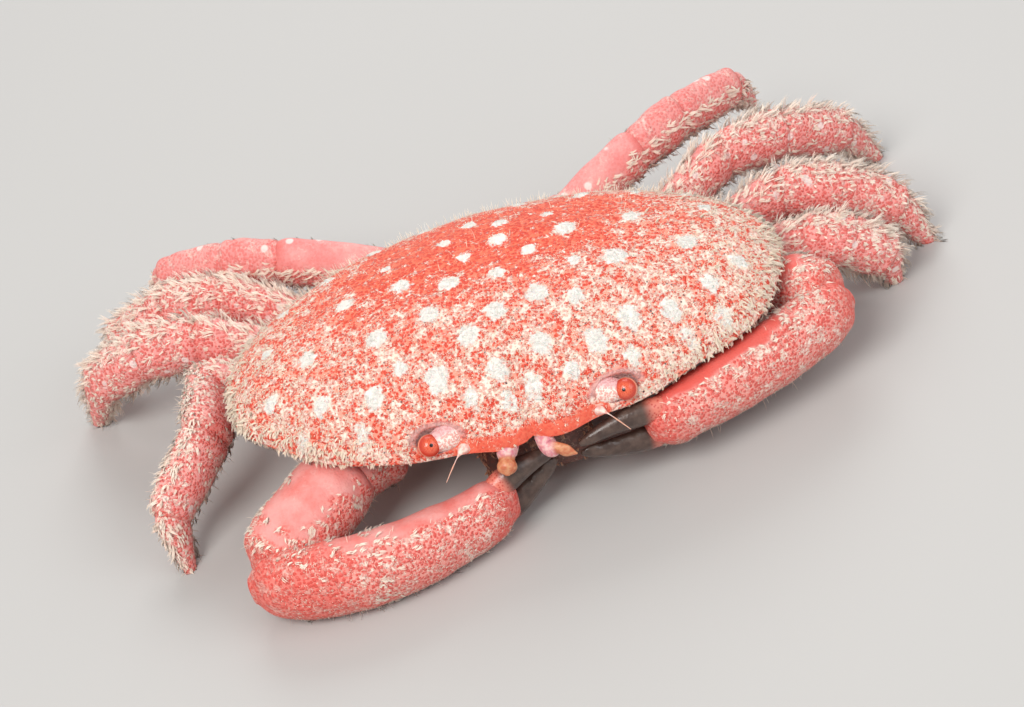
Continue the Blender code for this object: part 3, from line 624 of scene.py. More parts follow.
def bristle_solids(roots, lie, kind, shrink, chance):
    """Closed three-sided bristles in small tufts, tapered, bent over and spread about their lie."""
    per, bends, loose = kind.count, kind.bends, 1 - kind.clump
    tufts = len(roots["root"])
    count = tufts * per

    def each(values):
        return np.repeat(values, per, axis=0)

    def shared(share):
        """Random shifts, mostly the tuft's own, with a looser part for each of its bristles."""
        own = each(chance.normal(0, 1, (tufts, 1))) * (1 - loose * share)
        return own + chance.normal(0, loose * share, (count, 1))

    outward = each(roots["outward"])
    lie = each(unit(lie - roots["outward"] * (lie * roots["outward"]).sum(axis=1, keepdims=True)))
    swing = kind.turn * shared(1.0)
    lie = lie * np.cos(swing) + np.cross(outward, lie) * np.sin(swing)
    side = np.cross(outward, lie)
    length = each(chance.uniform(*kind.length, (tufts, 1)) * shrink[:, None])
    length = length * chance.uniform(*BRISTLE_VARIES, (count, 1))
    rise = np.clip(kind.rise + RISE_VARIES * shared(0.8), 0.1, 1.0)
    apart = chance.uniform(-1, 1, (2, count, 1)) * TUFT_SPREAD
    upper = unit(outward * (1 - rise) - lie * rise)
    stout = np.sqrt(np.clip(each(shrink), 0.5, 1.5))[:, None]
    verts = np.empty((count, 3 * bends + 1, 3))
    tips = np.empty((count, 3 * bends + 1))
    shading = np.empty_like(verts)
    for k in range(bends + 1):
        t = k / bends
        droop = kind.droop * t * t
        open_share = 1 - kind.clump * TIPS_TOGETHER * t
        centre = each(roots["root"]) + (lie * apart[0] + side * apart[1]) * open_share
        centre = centre - outward * SINK + outward * (length * (rise * t - droop) + SINK * min(1, 4 * t))
        centre = centre + lie * length * ((1 - rise) * t + droop)
        if k == bends:
            verts[:, -1], tips[:, -1], shading[:, -1] = centre, 1.0, outward
            break
        half = kind.half * (1 - TAPER * t) * stout
        for c in range(3):
            turn = math.radians(120 * c - 90)
            spoke = side * math.cos(turn) + upper * math.sin(turn) * FLATNESS
            verts[:, 3 * k + c], tips[:, 3 * k + c] = centre + spoke * half, t
            shading[:, 3 * k + c] = outward + spoke * BRISTLE_ROUNDNESS
    corner = np.concatenate([np.tile(np.arange(3), bends), [1]]) / 2 - 0.5
    spread = np.stack([np.broadcast_to(corner, tips.shape), tips - 0.5], axis=-1) * OFBAKE_PATCH
    return {
        "verts": verts,
        "faces": bristle_faces(bends),
        "shading": unit(shading),
        "unwrap": each(roots["unwrap"])[:, None] + spread,
        "tip": tips,
        "tint": np.broadcast_to(each(chance.random(tufts))[:, None], tips.shape),
        "spot": np.broadcast_to(each(roots["spot"])[:, None], tips.shape),
    }


def tufts_on(grid, kind, count, density, chance, stray, run=1.0, out=0.0, down=0.0, sizes=None):
    """Tufts of one kind of bristle at random places on a grid.

    They lie along the grid, outward and down by the shares given, and stray from that at random. The
    sizes come from a function of their places.
    """
    roots = scatter(grid, count, density, chance)
    lie = roots["run"] * run + roots["outward"] * out + np.array((0, 0, -down))
    lie = lie + chance.normal(0, stray, lie.shape)
    shrink = sizes(roots["root"]) if sizes else np.ones(count)
    return bristle_solids(roots, lie, kind, shrink, chance)


def coat(name, batches, material):
    """One coat piece: many closed bristles in one mesh, each tuft a small patch of the OFBake unwrap."""
    verts, faces, unwrap, shading, values = [], [], [], [], {}
    base = 0
    for batch in batches:
        count, per = batch["verts"].shape[:2]
        offsets = base + per * np.arange(count)[:, None, None]
        verts.append(batch["verts"].reshape(-1, 3))
        faces.append((batch["faces"][None] + offsets).reshape(-1, 3))
        unwrap.append(batch["unwrap"].reshape(-1, 2))
        shading.append(batch["shading"].reshape(-1, 3))
        for field in ("tip", "tint", "spot"):
            values.setdefault(field, []).append(batch[field].ravel())
        base += count * per
    verts, faces, unwrap = np.concatenate(verts), np.concatenate(faces), np.concatenate(unwrap)
    verts[:, 2] = np.maximum(verts[:, 2], FLOOR_CLEAR)
    mesh = bpy.data.meshes.new(name)
    mesh.vertices.add(len(verts))
    mesh.vertices.foreach_set("co", (verts * MM + ORIGIN).ravel())
    mesh.loops.add(faces.size)
    mesh.loops.foreach_set("vertex_index", faces.ravel())
    mesh.polygons.add(len(faces))
    mesh.polygons.foreach_set("loop_start", np.arange(0, faces.size, 3))
    layer = mesh.uv_layers.new(name="OFBake")
    layer.data.foreach_set("uv", unwrap[faces.ravel()].ravel())
    add_attributes(mesh, values)
    mesh.materials.append(material)
    mesh.update(calc_edges=True)
    mesh.shade_smooth()
    mesh.normals_split_custom_set_from_vertices(np.concatenate(shading).tolist())
    return new_object(name, mesh)


# Shapes of the body


def frame_along(direction, lean):
    """Unit vectors across a limb: towards its upper edge, and across its flat side."""
    upper = unit(np.array(lean, float) - np.dot(lean, direction) * direction)
    return upper, unit(np.cross(direction, upper))


def margin(angle):
    """Plan of the shell's edge. Angle 0 is the crab's left and a negative one is its front."""
    across, along = np.cos(angle), np.sin(angle)
    front = along < 0
    power = np.where(front, 2 / FRONT_POWER, 2 / BACK_POWER)
    x = HALF_BREADTH * np.sign(across) * np.abs(across) ** power
    y = np.where(front, FRONT_LENGTH, BACK_LENGTH) * np.sign(along) * np.abs(along) ** power
    y = y - np.where(front, BROW_REACH * bump(np.abs(x), BROW_X, BROW_WIDTH), 0)
    waves = np.sin(LOBE_TURNS * angle) * np.minimum(1, np.abs(along * across) * LOBE_FADE)
    lobes = 1 + np.where(front, LOBE_DEPTH * waves, 0)
    return x * lobes, y * lobes


def margin_height(angle):
    along = np.sin(angle)
    return SIDE_Z - np.where(along < 0, FRONT_DROP, BACK_DROP) * np.abs(along) ** DROP_POWER


def beside_mean(field):
    """The mean of each place's four neighbours on a grid."""
    return sum(np.roll(field, turn, axis) for turn, axis in ((1, 0), (-1, 0), (1, 1), (-1, 1))) / 4


def open_orbits(points):
    """Presses the shell in where each eye lies, and marks the hollows and the lids above them."""
    pressed = points.copy()
    hollow, lid = np.zeros(points.shape[:2]), np.zeros(points.shape[:2])
    for side in (LEFT, RIGHT):
        face = unit(np.array(mirrored(EYE_FACE, side)))
        upper, flat = frame_along(face, UP)
        place = points - np.array(mirrored(ORBIT_CENTRE, side))
        across, high, depth = place @ flat / ORBIT_HALF[0], place @ upper / ORBIT_HALF[1], place @ face
        far = np.hypot(across, high)
        near = np.abs(depth) < ORBIT_REACH
        floor = -ORBIT_DEPTH * np.sqrt(np.clip(1 - far**2, 0, 1))
        inside = (far < 1) & near
        bulge = LID_RISE * bump(far, LID_PLACE, LID_WIDTH) * step(high, -0.3, 0.4) * near
        pressed = pressed + face * np.where(inside, floor - depth, bulge)[..., None]
        hollow = np.maximum(hollow, inside * 1.0)
        lid = np.maximum(lid, (1 - step(far, *LID_END)) * step(high, -0.35, 0.2) * near)
    for _ in range(2):
        soft, spread = beside_mean(pressed), beside_mean(hollow)
        rim = (hollow > 0) | (spread > 0)
        pressed = np.where(rim[..., None], pressed * 0.5 + soft * 0.5, pressed)
        hollow = np.maximum(hollow, spread * 0.7)
    return pressed, hollow, lid * (1 - hollow)


def spot_mark(points):
    """How white each place of the back is, from the list of spots, with ragged edges."""
    white = np.zeros(points.shape[:2])
    depth, size = SPOT_RAGGED
    ragged = ripple(points, size, SEED) * depth
    for x, y, radius in SPOTS:
        far = np.hypot(points[..., 0] - x, points[..., 1] - y) + ragged
        strength = 1 - FRONT_SPOTS_FADE * step(-y, 7.0, 9.5)
        white = np.maximum(white, strength * (1 - step(far, radius * SPOT_EDGE[0], radius * SPOT_EDGE[1])))
    return white


def shell_surface():
    """The back's points from its top round under its edge, with their angles, edge heights and reach."""
    turn = np.linspace(-math.pi, math.pi, SHELL_COLUMNS, endpoint=False)
    angle = turn - FRONT_CROWDING * np.sin(turn) - math.pi / 2
    angle = np.where(angle < -math.pi, angle + 2 * math.pi, angle)[None]
    x, y = margin(angle)
    edge = margin_height(angle)
    t = np.linspace(FIRST_ROW, 1, SHELL_TOP_ROWS)[:, None]
    share = np.sin(t * math.pi / 2)
    rise = (1 - share**DOME_POWER) ** DOME_ROUNDNESS
    top = np.stack([x * share, y * share, edge + (TOP_Z - edge) * rise], axis=-1)
    down = np.linspace(0, 1, SHELL_UNDER_ROWS + 1)[1:, None]
    inward = eased([row[:2] for row in SHELL_UNDER], down)
    fall = eased([(row[0], row[2]) for row in SHELL_UNDER], down)
    under = np.stack([x * inward, y * inward, edge + (SPLIT_Z - edge) * fall], axis=-1)
    return np.concatenate([top, under]), angle, edge, np.concatenate([share, np.ones_like(down)])


def shell_grid():
    """The back with its swells, furrow, raised spots and eye sockets, marked for crust and bristles."""
    points, angle, edge, far = shell_surface()
    halves = np.abs(points) * np.array((1, 0, 0)) + points * np.array((0, 1, 1))
    swell = ripple(halves, SWELLS[1], SEED + 1) * SWELLS[0]
    swell = swell + ripple(points, FINE_SWELLS[1], SEED + 2) * FINE_SWELLS[0]
    furrow = bump(points[..., 0], 0, FURROW_HALF) * step(-points[..., 1], *FURROW_FRONT)
    edge_fade = 1 - EDGE_SPOTS_FADE * step(far, 0.86, 0.97)
    white = spot_mark(points) * (points[..., 2] > SPOT_LOWEST_Z) * edge_fade
    points = points + normals_of(points) * (swell - FURROW_DEPTH * furrow + SPOT_RISE * white)[..., None]
    points, hollow, lid = open_orbits(points)
    clean = np.exp(-(((points[..., 0] - CLEAN_CENTRE[0]) / CLEAN_HALF[0]) ** 2 +
                     ((points[..., 1] - CLEAN_CENTRE[1]) / CLEAN_HALF[1]) ** 2))
    patchy = ripple(points, COVER_PATCHES[1], SEED + 3) * COVER_PATCHES[0]
    crabs_left = points[..., 0] / HALF_BREADTH
    cover = np.clip(BACK_COVER - CLEAN_LOSS * clean + patchy + COVER_TO_LEFT * crabs_left, 0.05, 1)
    rim = step(far, *BARE_RIM) * (1 - step(np.abs(points[..., 0]), *BARE_RIM_X)) * (points[..., 1] < 0)
    cover = cover * (1 - BARE_RIM_LOSS * rim)
    # Painted shade: marks the underside of the edge, which the crust darkens
    below = step(edge - points[..., 2], 0.1, 0.9) * (far > 0.99)
    spread = 0.06 + 0.88 * np.linspace(0, 1, len(points))[:, None]
    unwrap = np.stack([0.5 + spread / 2 * np.cos(angle), 0.5 + spread / 2 * np.sin(angle)], axis=-1)
    clear = (1 - hollow) * (1 - lid)
    return as_grid(
        points, unwrap, cover=cover * clear, spot=white * clear, rim=rim * clear, hollow=hollow, lid=lid,
        below=below, far=far,
    )


def rounded_end(ring, centre, way, reach):
    """Rings that close an end ring towards a point beyond it, the widest first."""
    return [centre + (ring - centre) * c + way * reach * math.sqrt(1 - c * c) for c in CAP_SHARES]


def capped(points, along, centres, ways, reaches):
    """A limb's rings with both ends rounded off, and the place of every ring along it."""
    low = rounded_end(points[0], centres[0], -ways[0], reaches[0])[::-1]
    high = rounded_end(points[-1], centres[-1], ways[-1], reaches[1])
    along = np.concatenate([np.zeros(len(low)), along, np.ones(len(high))])
    return np.concatenate([low, points, high]), along[:, None]


def limb_unwrap(cell, along, turn):
    """The unwrap of a limb, which fills its own share of the whole."""
    index, count = cell
    along = along * np.ones_like(turn)
    around = turn / (2 * math.pi) * np.ones_like(along)
    return np.stack([(index + UNWRAP_MARGIN + UNWRAP_SHARE * along) / count, around], axis=-1)


def eased_places(rows):
    """Places from 0 to 1 that crowd towards both ends."""
    return 0.5 - 0.5 * np.cos(np.linspace(0, math.pi, rows))


def limb_grid(
    path, form, half, lean, cell=(0, 1), columns=LIMB_COLUMNS, rows=LIMB_ROWS, seed=SEED, crest=CREST,
    bow=(0, 0, 0),
):
    """A rounded limb piece between two points, bowed aside, with a low crest along its upper edge."""
    start, end = np.array(path[0], float), np.array(path[1], float)
    run = end - start
    direction = unit(run)
    upper, flat = frame_along(direction, lean)
    places = eased_places(rows)
    along = places[:, None]
    share = eased(form, along)
    turn = angles_round(columns)[None]
    ridge = 1 + crest * bump(turn, math.pi / 2, CREST_WIDTH)
    high, wide = half[0] * share * ridge, half[1] * share
    points = start + run * along[..., None] + upper * (high * np.sin(turn))[..., None]
    points = points + flat * (wide * np.cos(turn))[..., None]
    points = points + np.array(bow) * np.sin(math.pi * along)[..., None]
    reaches = np.array([form[0][1], form[-1][1]]) * min(half) * LIMB_CAP
    points, along = capped(points, places, (start, end), (direction, direction), reaches)
    points = points + normals_of(points) * (ripple(points, LUMPS[1], seed) * LUMPS[0])[..., None]
    joint = np.maximum(1 - step(along, 0.0, 0.16), step(along, 0.86, 0.97))
    unwrap = limb_unwrap(cell, along, turn)
    return as_grid(points, unwrap, edge=np.abs(np.sin(turn)), joint=joint, along=along)


def bent_grid(path, halves, lean, columns, rows, teeth=0.0, tooth_side=1):
    """A piece that bends smoothly through its points, each with its own half height and half width."""
    points, halves = np.array(path, float), np.array(halves, float)
    steps = np.concatenate([[0], np.cumsum(np.linalg.norm(np.diff(points, axis=0), axis=1))])
    steps /= steps[-1]
    places = eased_places(rows)
    centres = np.stack([eased(np.stack([steps, points[:, k]], axis=1), places) for k in range(3)], axis=1)
    sizes = np.stack([eased(np.stack([steps, halves[:, k]], axis=1), places) for k in range(2)], axis=1)
    ways = unit(np.gradient(centres, axis=0))
    turn = angles_round(columns)
    inner = bump(turn, math.pi / 2 * (2 - tooth_side), TOOTH_WIDTH)
    rings = []
    for centre, size, way, along in zip(centres, sizes, ways, places):
        upper, flat = frame_along(way, lean)
        in_row = TOOTH_ROW[0] < along < TOOTH_ROW[1]
        bite = teeth * inner * abs(math.sin(math.pi * TOOTH_COUNT * along)) * in_row
        high = (size[0] + bite) * np.sin(turn)
        rings.append(centre + upper * high[:, None] + flat * (size[1] * np.cos(turn))[:, None])
    reaches = [min(ends) * BENT_CAP for ends in (halves[0], halves[-1])]
    points, along = capped(np.array(rings), places, centres, ways, reaches)
    return as_grid(points, limb_unwrap((0, 1), along, turn[None]), along=along)


def leg_grids(side, number):
    """The four grids of one walking leg, from its root out."""
    root = mirrored(LEG_ROOT[number], side)
    joints = [np.array(p, float) for p in (root, *LEG_POSE[(side, number)])]
    outward = unit((joints[-1] - joints[0]) * np.array((1, 1, 0)))
    lean = outward * LEG_LEAN + np.array(UP)
    size = LEG_SCALE[number]
    grids = {}
    for k, (part, start, end) in enumerate(zip(LEG_PARTS, joints, joints[1:])):
        way = unit(end - start)
        inner, outer = OVERLAP[part]
        path = (start - way * inner * size, end + way * outer * size)
        half = [h * size for h in LEG_HALF[part]]
        cell, seed = (k, len(LEG_PARTS)), SEED + 10 * number + k
        grids[part] = limb_grid(path, FORM[part], half, lean, cell, seed=seed)
    return grids


def claw_grids(side):
    """Merus, elbow, palm, fixed finger and movable finger of one claw."""
    root, elbow, wrist, knuckle, tip = (np.array(p, float) for p in CLAW_POSE[side])
    size = CLAW_SCALE[side]
    upper_arm, forearm, reach = unit(elbow - root), unit(wrist - elbow), unit(knuckle - wrist)
    front = np.array((0, -PALM_FRONT * size, -PALM_DROP))
    paths = (
        (root, elbow + upper_arm * MERUS_PAST_ELBOW),
        (elbow - forearm * CARPUS_BEFORE_ELBOW, wrist + forearm * CARPUS_PAST_WRIST),
        (wrist - reach * PALM_BEFORE_WRIST + front, knuckle + reach * PALM_PAST_KNUCKLE),
    )
    forms = (FORM["merus"], ROUND_ENDS, FORM["palm"])
    bows = ((0, 0, 0), (0, 0, 0), (0, -PALM_BOW[side], 0))
    grids = {}
    for k, part in enumerate(CLAW_PARTS):
        half = [h * size for h in CLAW_HALF[part]]
        cell, seed = (k, len(CLAW_PARTS)), SEED + 3 + k
        grids[part] = limb_grid(
            paths[k], forms[k], half, CLAW_LEAN, cell, *CLAW_MESHING[part], seed, CLAW_CREST, bows[k]
        )
    upper, _ = frame_along(reach, CLAW_LEAN)
    spread = upper * FINGER_SPREAD * (CLAW_HALF["palm"][0] * size)
    for kind, shift in (("fixed", -1), ("movable", 1)):
        start = knuckle + spread * shift - reach * FINGER_SINK
        end = tip + upper * shift * (FINGER_TIP + FINGER_GAP)
        points, halves = [], []
        for along in np.linspace(0, 1, FINGER_POINTS):
            share = eased(FORM["finger"], along)
            bow = upper * FINGER_BOW[kind] * math.sin(math.pi * along)
            points.append(start + (end - start) * along + bow)
            halves.append((FINGER_HALF[0] * share * size, FINGER_HALF[1] * share * size))
        teeth = TOOTH_HEIGHT * size
        grids[kind] = bent_grid(points, halves, CLAW_LEAN, *FINGER_MESHING, teeth, tooth_side=-shift)
    return grids


def thorax_grid():
    """The breast plate, grooved between the roots of the legs."""
    angle = angles_round(THORAX_MESHING[0])[None] - math.pi / 2
    x, y = margin(np.where(angle > math.pi, angle - 2 * math.pi, angle))
    at = np.linspace(0, 1, THORAX_MESHING[1])[:, None]
    places = np.linspace(0, 1, len(THORAX_LEVELS))
    level = eased(np.stack([places, [row[0] for row in THORAX_LEVELS]], axis=1), at)
    share = eased(np.stack([places, [row[1] for row in THORAX_LEVELS]], axis=1), at)
    points = np.stack([x * share, y * share + THORAX_BACK, level * np.ones_like(x)], axis=-1)
    rows = np.sin(points[..., 1] * THORAX_GROOVES["turns"])
    groove = bump(rows, 0, THORAX_GROOVES["width"]) * step(at, *THORAX_GROOVES["begin"])
    points = points - normals_of(points) * (groove * THORAX_GROOVES["depth"])[..., None]
    unwrap = np.stack([0.5 + (1 - at) / 2 * np.cos(angle), 0.5 + (1 - at) / 2 * np.sin(angle)], axis=-1)
    return as_grid(points, unwrap, groove=groove)


def abdomen_grid():
    """The flap folded under the body, in rings that narrow forward."""
    path = [(0, y, z) for y, z, _ in ABDOMEN]
    halves = [(ABDOMEN_HALF, width) for _, _, width in ABDOMEN]
    grid = bent_grid(path, halves, ABDOMEN_LEAN, *ABDOMEN_MESHING)
    along = grid["marks"]["along"]
    rings = np.sin(along * math.pi * ABDOMEN_GROOVES["turns"])
    between = (along > ABDOMEN_GROOVES["first"]) * (along < ABDOMEN_GROOVES["last"])
    groove = bump(rings, 0, ABDOMEN_GROOVES["width"]) * between
    points = grid["points"] - grid["normals"] * (groove * ABDOMEN_GROOVES["depth"])[..., None]
    return as_grid(points, grid["unwrap"], groove=groove)


def cornea_grid(side):
    """The domed end of an eye, marked by how far each place lies from the way it faces."""
    face = unit(np.array(mirrored(PUPIL_FACE, side)))
    upper, flat = frame_along(face, UP)
    tilt = np.linspace(CORNEA_POLE_TILT, math.pi - CORNEA_POLE_TILT, CORNEA_MESHING[1])[:, None]
    turn = angles_round(CORNEA_MESHING[0])[None]
    out = face * np.cos(tilt)[..., None] + (
        upper * (np.sin(tilt) * np.sin(turn))[..., None] + flat * (np.sin(tilt) * np.cos(turn))[..., None]
    )
    bezel = CORNEA_BEZEL["height"] * bump(tilt, CORNEA_BEZEL["tilt"], CORNEA_BEZEL["width"])
    radius = CORNEA_RADIUS + bezel * np.ones_like(turn)
    points = np.array(mirrored(CORNEA_CENTRE, side)) + out * radius[..., None]
    around, down = turn / (2 * math.pi) * np.ones_like(tilt), tilt / math.pi * np.ones_like(turn)
    unwrap = np.stack([around, down], axis=-1)
    return as_grid(points, unwrap, tilt=tilt / math.pi)


# Shader building

COLOUR, VALUE = "NodeSocketColor", "NodeSocketFloat"


class ShaderTree:
    """A shader tree, with short ways to add the nodes that the finishes use."""

    def __init__(self, tree):
        self.tree = tree

    def feed(self, value, socket):
        """Joins an output to an input, or sets the input's own value."""
        if isinstance(value, bpy.types.NodeSocket):
            self.tree.links.new(value, socket)
        else:
            socket.default_value = value

    def add(self, kind, feeds=None, **options):
        """Adds one node, sets its options, feeds its inputs by name or number, and gives its outputs."""
        made = self.tree.nodes.new(kind)
        for option, value in options.items():
            setattr(made, option, value)
        for name, value in (feeds or {}).items():
            self.feed(value, made.inputs[name])
        return made.outputs

    @cached_property
    def place(self):
        """Places on the object in millimetres, for textures that keep their size."""
        place = self.add("ShaderNodeTexCoord")["Object"]
        return self.add("ShaderNodeVectorMath", {0: place, 3: 1 / MM}, operation="SCALE")[0]

    def noise(self, per_mm, detail=3.0, output="Fac", **feeds):
        """Cloudy noise, with so many swells to a millimetre."""
        feeds = {"Vector": self.place, "Scale": per_mm, "Detail": detail} | feeds
        return self.add("ShaderNodeTexNoise", feeds)[output]

    def cells(self, per_mm):
        """How far each place lies from the nearest of many scattered points."""
        return self.add("ShaderNodeTexVoronoi", {"Vector": self.place, "Scale": per_mm})["Distance"]

    def mark(self, name):
        return self.add("ShaderNodeAttribute", attribute_name=name, attribute_type="GEOMETRY")["Fac"]

    def worked_out(self, operation, first, second):
        return self.add("ShaderNodeMath", {0: first, 1: second}, operation=operation)[0]

    def plus(self, first, second):
        return self.worked_out("ADD", first, second)

    def minus(self, first, second):
        return self.worked_out("SUBTRACT", first, second)

    def times(self, first, second):
        return self.worked_out("MULTIPLY", first, second)

    def ramp(self, value, low, high, start=0.0, end=1.0, interpolation="SMOOTHSTEP"):
        """A climb from the start to the end value while the given one goes from low to high."""
        feeds = {"Value": value, "From Min": low, "From Max": high, "To Min": start, "To Max": end}
        return self.add("ShaderNodeMapRange", feeds, interpolation_type=interpolation)["Result"]

    def blend(self, share, first, second):
        return self.add("ShaderNodeMix", {0: share, 6: first, 7: second}, data_type="RGBA")[2]

    def shade(self, value, low, high, first, second, most=1.0):
        """The first colour, turning into the second while the value goes from low to high."""
        return self.blend(self.ramp(value, low, high, 0.0, most), first, second)

    def patch(self, mark, strength, colour, patch_colour):
        """A colour with another one laid over it where the mark is."""
        return self.blend(self.times(mark, strength), colour, patch_colour)

    def group(self, tree, feeds):
        return self.add("ShaderNodeGroup", feeds, node_tree=tree)


class Finish(ShaderTree):
    """A material, named for what it covers."""

    def __init__(self, name):
        self.material = bpy.data.materials.new(name)
        self.material.use_nodes = True
        super().__init__(self.material.node_tree)
        self.shader = self.tree.nodes["Principled BSDF"].inputs

    def done(self, colour, roughness, height=None, relief=0.0, glow=None, weights=()):
        """Feeds the shader, with relief in millimetres and the light that enters and comes out again."""
        self.feed(colour, self.shader["Base Color"])
        self.feed(roughness, self.shader["Roughness"])
        if height:
            feeds = {"Height": height, "Strength": 1.0, "Distance": relief * MM}
            self.feed(self.add("ShaderNodeBump", feeds)["Normal"], self.shader["Normal"])
        if glow:
            amount, depth, tint = glow
            self.shader["Subsurface Weight"].default_value = amount
            self.shader["Subsurface Radius"].default_value = tint
            self.shader["Subsurface Scale"].default_value = depth * MM
        for name, weight in weights:
            self.shader[name].default_value = weight
        return self.material


def new_group(name, inputs, outputs):
    """A shader node group with named sockets. It gives back its tree, its inputs and its outputs."""
    tree = bpy.data.node_groups.new(name, "ShaderNodeTree")
    for label, kind, *value in inputs:
        socket = tree.interface.new_socket(label, in_out="INPUT", socket_type=kind)
        if value:
            socket.default_value = value[0]
    for label, kind in outputs:
        tree.interface.new_socket(label, in_out="OUTPUT", socket_type=kind)
    given, out = tree.nodes.new("NodeGroupInput").outputs, tree.nodes.new("NodeGroupOutput").inputs
    return ShaderTree(tree), given, out


def granule_group():
    """Close-set round granules: their height, how much of each place they cover, and a pick for each."""
    inputs = (("Per Millimetre", VALUE), ("Raggedness", VALUE, 0.16))
    outputs = (("Height", VALUE), ("Body", VALUE), ("Pick", VALUE))
    nodes, given, out = new_group("round_granules", inputs, outputs)
    wander = nodes.noise(5.0, 2.0, "Color")
    shift = nodes.add("ShaderNodeVectorMath", {0: wander, 3: given["Raggedness"]}, operation="SCALE")[0]
    moved = nodes.add("ShaderNodeVectorMath", {0: nodes.place, 1: shift}, operation="ADD")[0]
    feeds = {"Vector": moved, "Scale": given["Per Millimetre"], "Randomness": 0.9}
    grains = nodes.add("ShaderNodeTexVoronoi", feeds)
    nodes.feed(nodes.ramp(grains["Distance"], 0.62, 0.05), out["Height"])
    nodes.feed(nodes.ramp(grains["Distance"], 0.68, 0.42), out["Body"])
    nodes.feed(nodes.add("ShaderNodeSeparateColor", {"Color": grains["Color"]})["Red"], out["Pick"])
    return nodes.tree


def scurf_group():
    """Pale flecks and short down lodged between the granules, with a few dark specks among them."""
    inputs = (("Cover", VALUE), ("Per Millimetre", VALUE, 5.5))
    outputs = (("Pale", VALUE), ("Dark", VALUE), ("Shade", VALUE))
    nodes, given, out = new_group("pale_scurf", inputs, outputs)
    fine = nodes.noise(given["Per Millimetre"], Roughness=0.65, Distortion=0.6)
    broad = nodes.noise(1.4)
    limit = nodes.ramp(given["Cover"], 0.0, 1.0, 1.17, 0.95, "LINEAR")
    over = nodes.minus(nodes.plus(fine, broad), limit)
    nodes.feed(nodes.ramp(over, -0.03, 0.08), out["Pale"])
    specks = nodes.ramp(nodes.cells(2.6), 0.21, 0.11)
    dark = nodes.times(specks, nodes.ramp(nodes.noise(1.7, 2.0), 0.38, 0.5))
    nodes.feed(nodes.times(dark, given["Cover"]), out["Dark"])
    nodes.feed(broad, out["Shade"])
    return nodes.tree


def crust_group(granules, scurf):
    """Colour, height and roughness of a granular plate with pale scurf between its granules."""
    inputs = (
        ("Granule Colour", COLOUR), ("Between Colour", COLOUR), ("Pale Colour", COLOUR), ("Cover", VALUE),
        ("Per Millimetre", VALUE),
    )
    outputs = (("Color", COLOUR), ("Height", VALUE), ("Roughness", VALUE))
    nodes, given, out = new_group("granular_crust", inputs, outputs)
    granule, between, pale = (given[label] for label, kind in inputs if kind == COLOUR)
    grains = nodes.group(granules, {"Per Millimetre": given["Per Millimetre"]})
    flecks = nodes.group(scurf, {"Cover": given["Cover"]})
    body = grains["Body"]
    toned = nodes.shade(grains["Pick"], 0.55, 1.0, granule, between, most=0.55)
    patch = nodes.ramp(flecks["Shade"], 0.40, 0.60, 0.6, 1.15)
    lodged = nodes.times(nodes.ramp(given["Cover"], 0.1, 0.9, 0.0, 0.5), patch)
    colour = nodes.blend(body, nodes.blend(lodged, between, pale), toned)
    kept = nodes.minus(1.0, nodes.times(body, 0.42))
    colour = nodes.patch(flecks["Pale"], kept, colour, pale)
    nodes.feed(nodes.blend(flecks["Dark"], colour, DARK_SPECK), out["Color"])
    nodes.feed(nodes.plus(grains["Height"], nodes.times(flecks["Pale"], 0.5)), out["Height"])
    nodes.feed(nodes.ramp(nodes.plus(flecks["Pale"], body), 0.0, 1.6, 0.75, 0.42), out["Roughness"])
    return nodes.tree


GRANULES = granule_group()
CRUST = crust_group(GRANULES, scurf_group())


def crust_of(finish, cover, colours, per_mm):
    """The crust's colour, height and roughness in one finish."""
    feeds = {"Cover": cover, "Per Millimetre": per_mm}
    for name in ("granule", "between", "pale"):
        feeds[f"{name.capitalize()} Colour"] = colours[name]
    return finish.group(CRUST, feeds)


# Finishes


def shell_crust(colours):
    """The back: crust and whiter spots, smoother and redder at the front rim, mauve in the eye sockets."""
    made = Finish("shell_crust")
    names = ("cover", "spot", "below", "hollow", "lid", "rim")
    cover, spot, below, hollow, lid, rim = map(made.mark, names)
    crust = crust_of(made, cover, colours, GRANULES_PER_MM["shell"])
    crumbs = made.times(made.noise(3.4), 1.7)
    colour = made.shade(made.plus(spot, crumbs), 1.05, 1.5, crust["Color"], colours["spot"])
    colour = made.patch(rim, 0.6, colour, colours["rim"])
    # Painted shade darkens the underside of the shell's edge
    colour = made.patch(below, 0.75, colour, colours["below"])
    mauve = made.shade(made.noise(6.0), 0.35, 0.65, colours["mauve"], colours["pale_mauve"])
    colour = made.patch(lid, 0.85, colour, mauve)
    colour = made.shade(hollow, 0.3, 0.8, colour, mauve)
    height = made.times(crust["Height"], made.ramp(rim, 0.0, 1.0, 1.0, 0.3))
    return made.done(colour, crust["Roughness"], height, RELIEF["shell"], GLOW["shell"])


def limb_crust(name, colours, dotted):
    """A limb's plate: granular and scurfy on its outer edges, smooth and paler where it is bare."""
    made = Finish(name)
    cover, joint, below, bare = map(made.mark, ("cover", "joint", "below", "bare"))
    crust = crust_of(made, cover, colours, GRANULES_PER_MM["limb"])
    skin = made.shade(made.noise(0.55), 0.3, 0.8, colours["smooth"], colours["blotch"])
    colour = made.patch(bare, 0.88, crust["Color"], skin)
    colour = made.patch(made.ramp(made.cells(0.6), 0.21, 0.13), dotted, colour, colours["dot"])
    # Red joints, and on the crab's left claw the same red as painted shade over its smooth side
    colour = made.patch(joint, 0.5, colour, colours["joint"])
    # Painted shade on the sides that face the floor
    colour = made.patch(below, 0.6, colour, colours["below"])
    height = made.times(crust["Height"], made.ramp(bare, 0.0, 1.0, 1.0, 0.2))
    return made.done(colour, crust["Roughness"], height, RELIEF["limb"], GLOW["limb"])


def underside_crust(name, colours):
    """The plates of the underside and the mouth, with painted shade darkening their grooves."""
    made = Finish(name)
    crust = crust_of(made, 0.3, colours, GRANULES_PER_MM["underside"])
    # Painted shade in the grooves
    colour = made.blend(made.mark("groove"), crust["Color"], colours["groove"])
    return made.done(colour, crust["Roughness"], crust["Height"], RELIEF["underside"], GLOW["underside"])


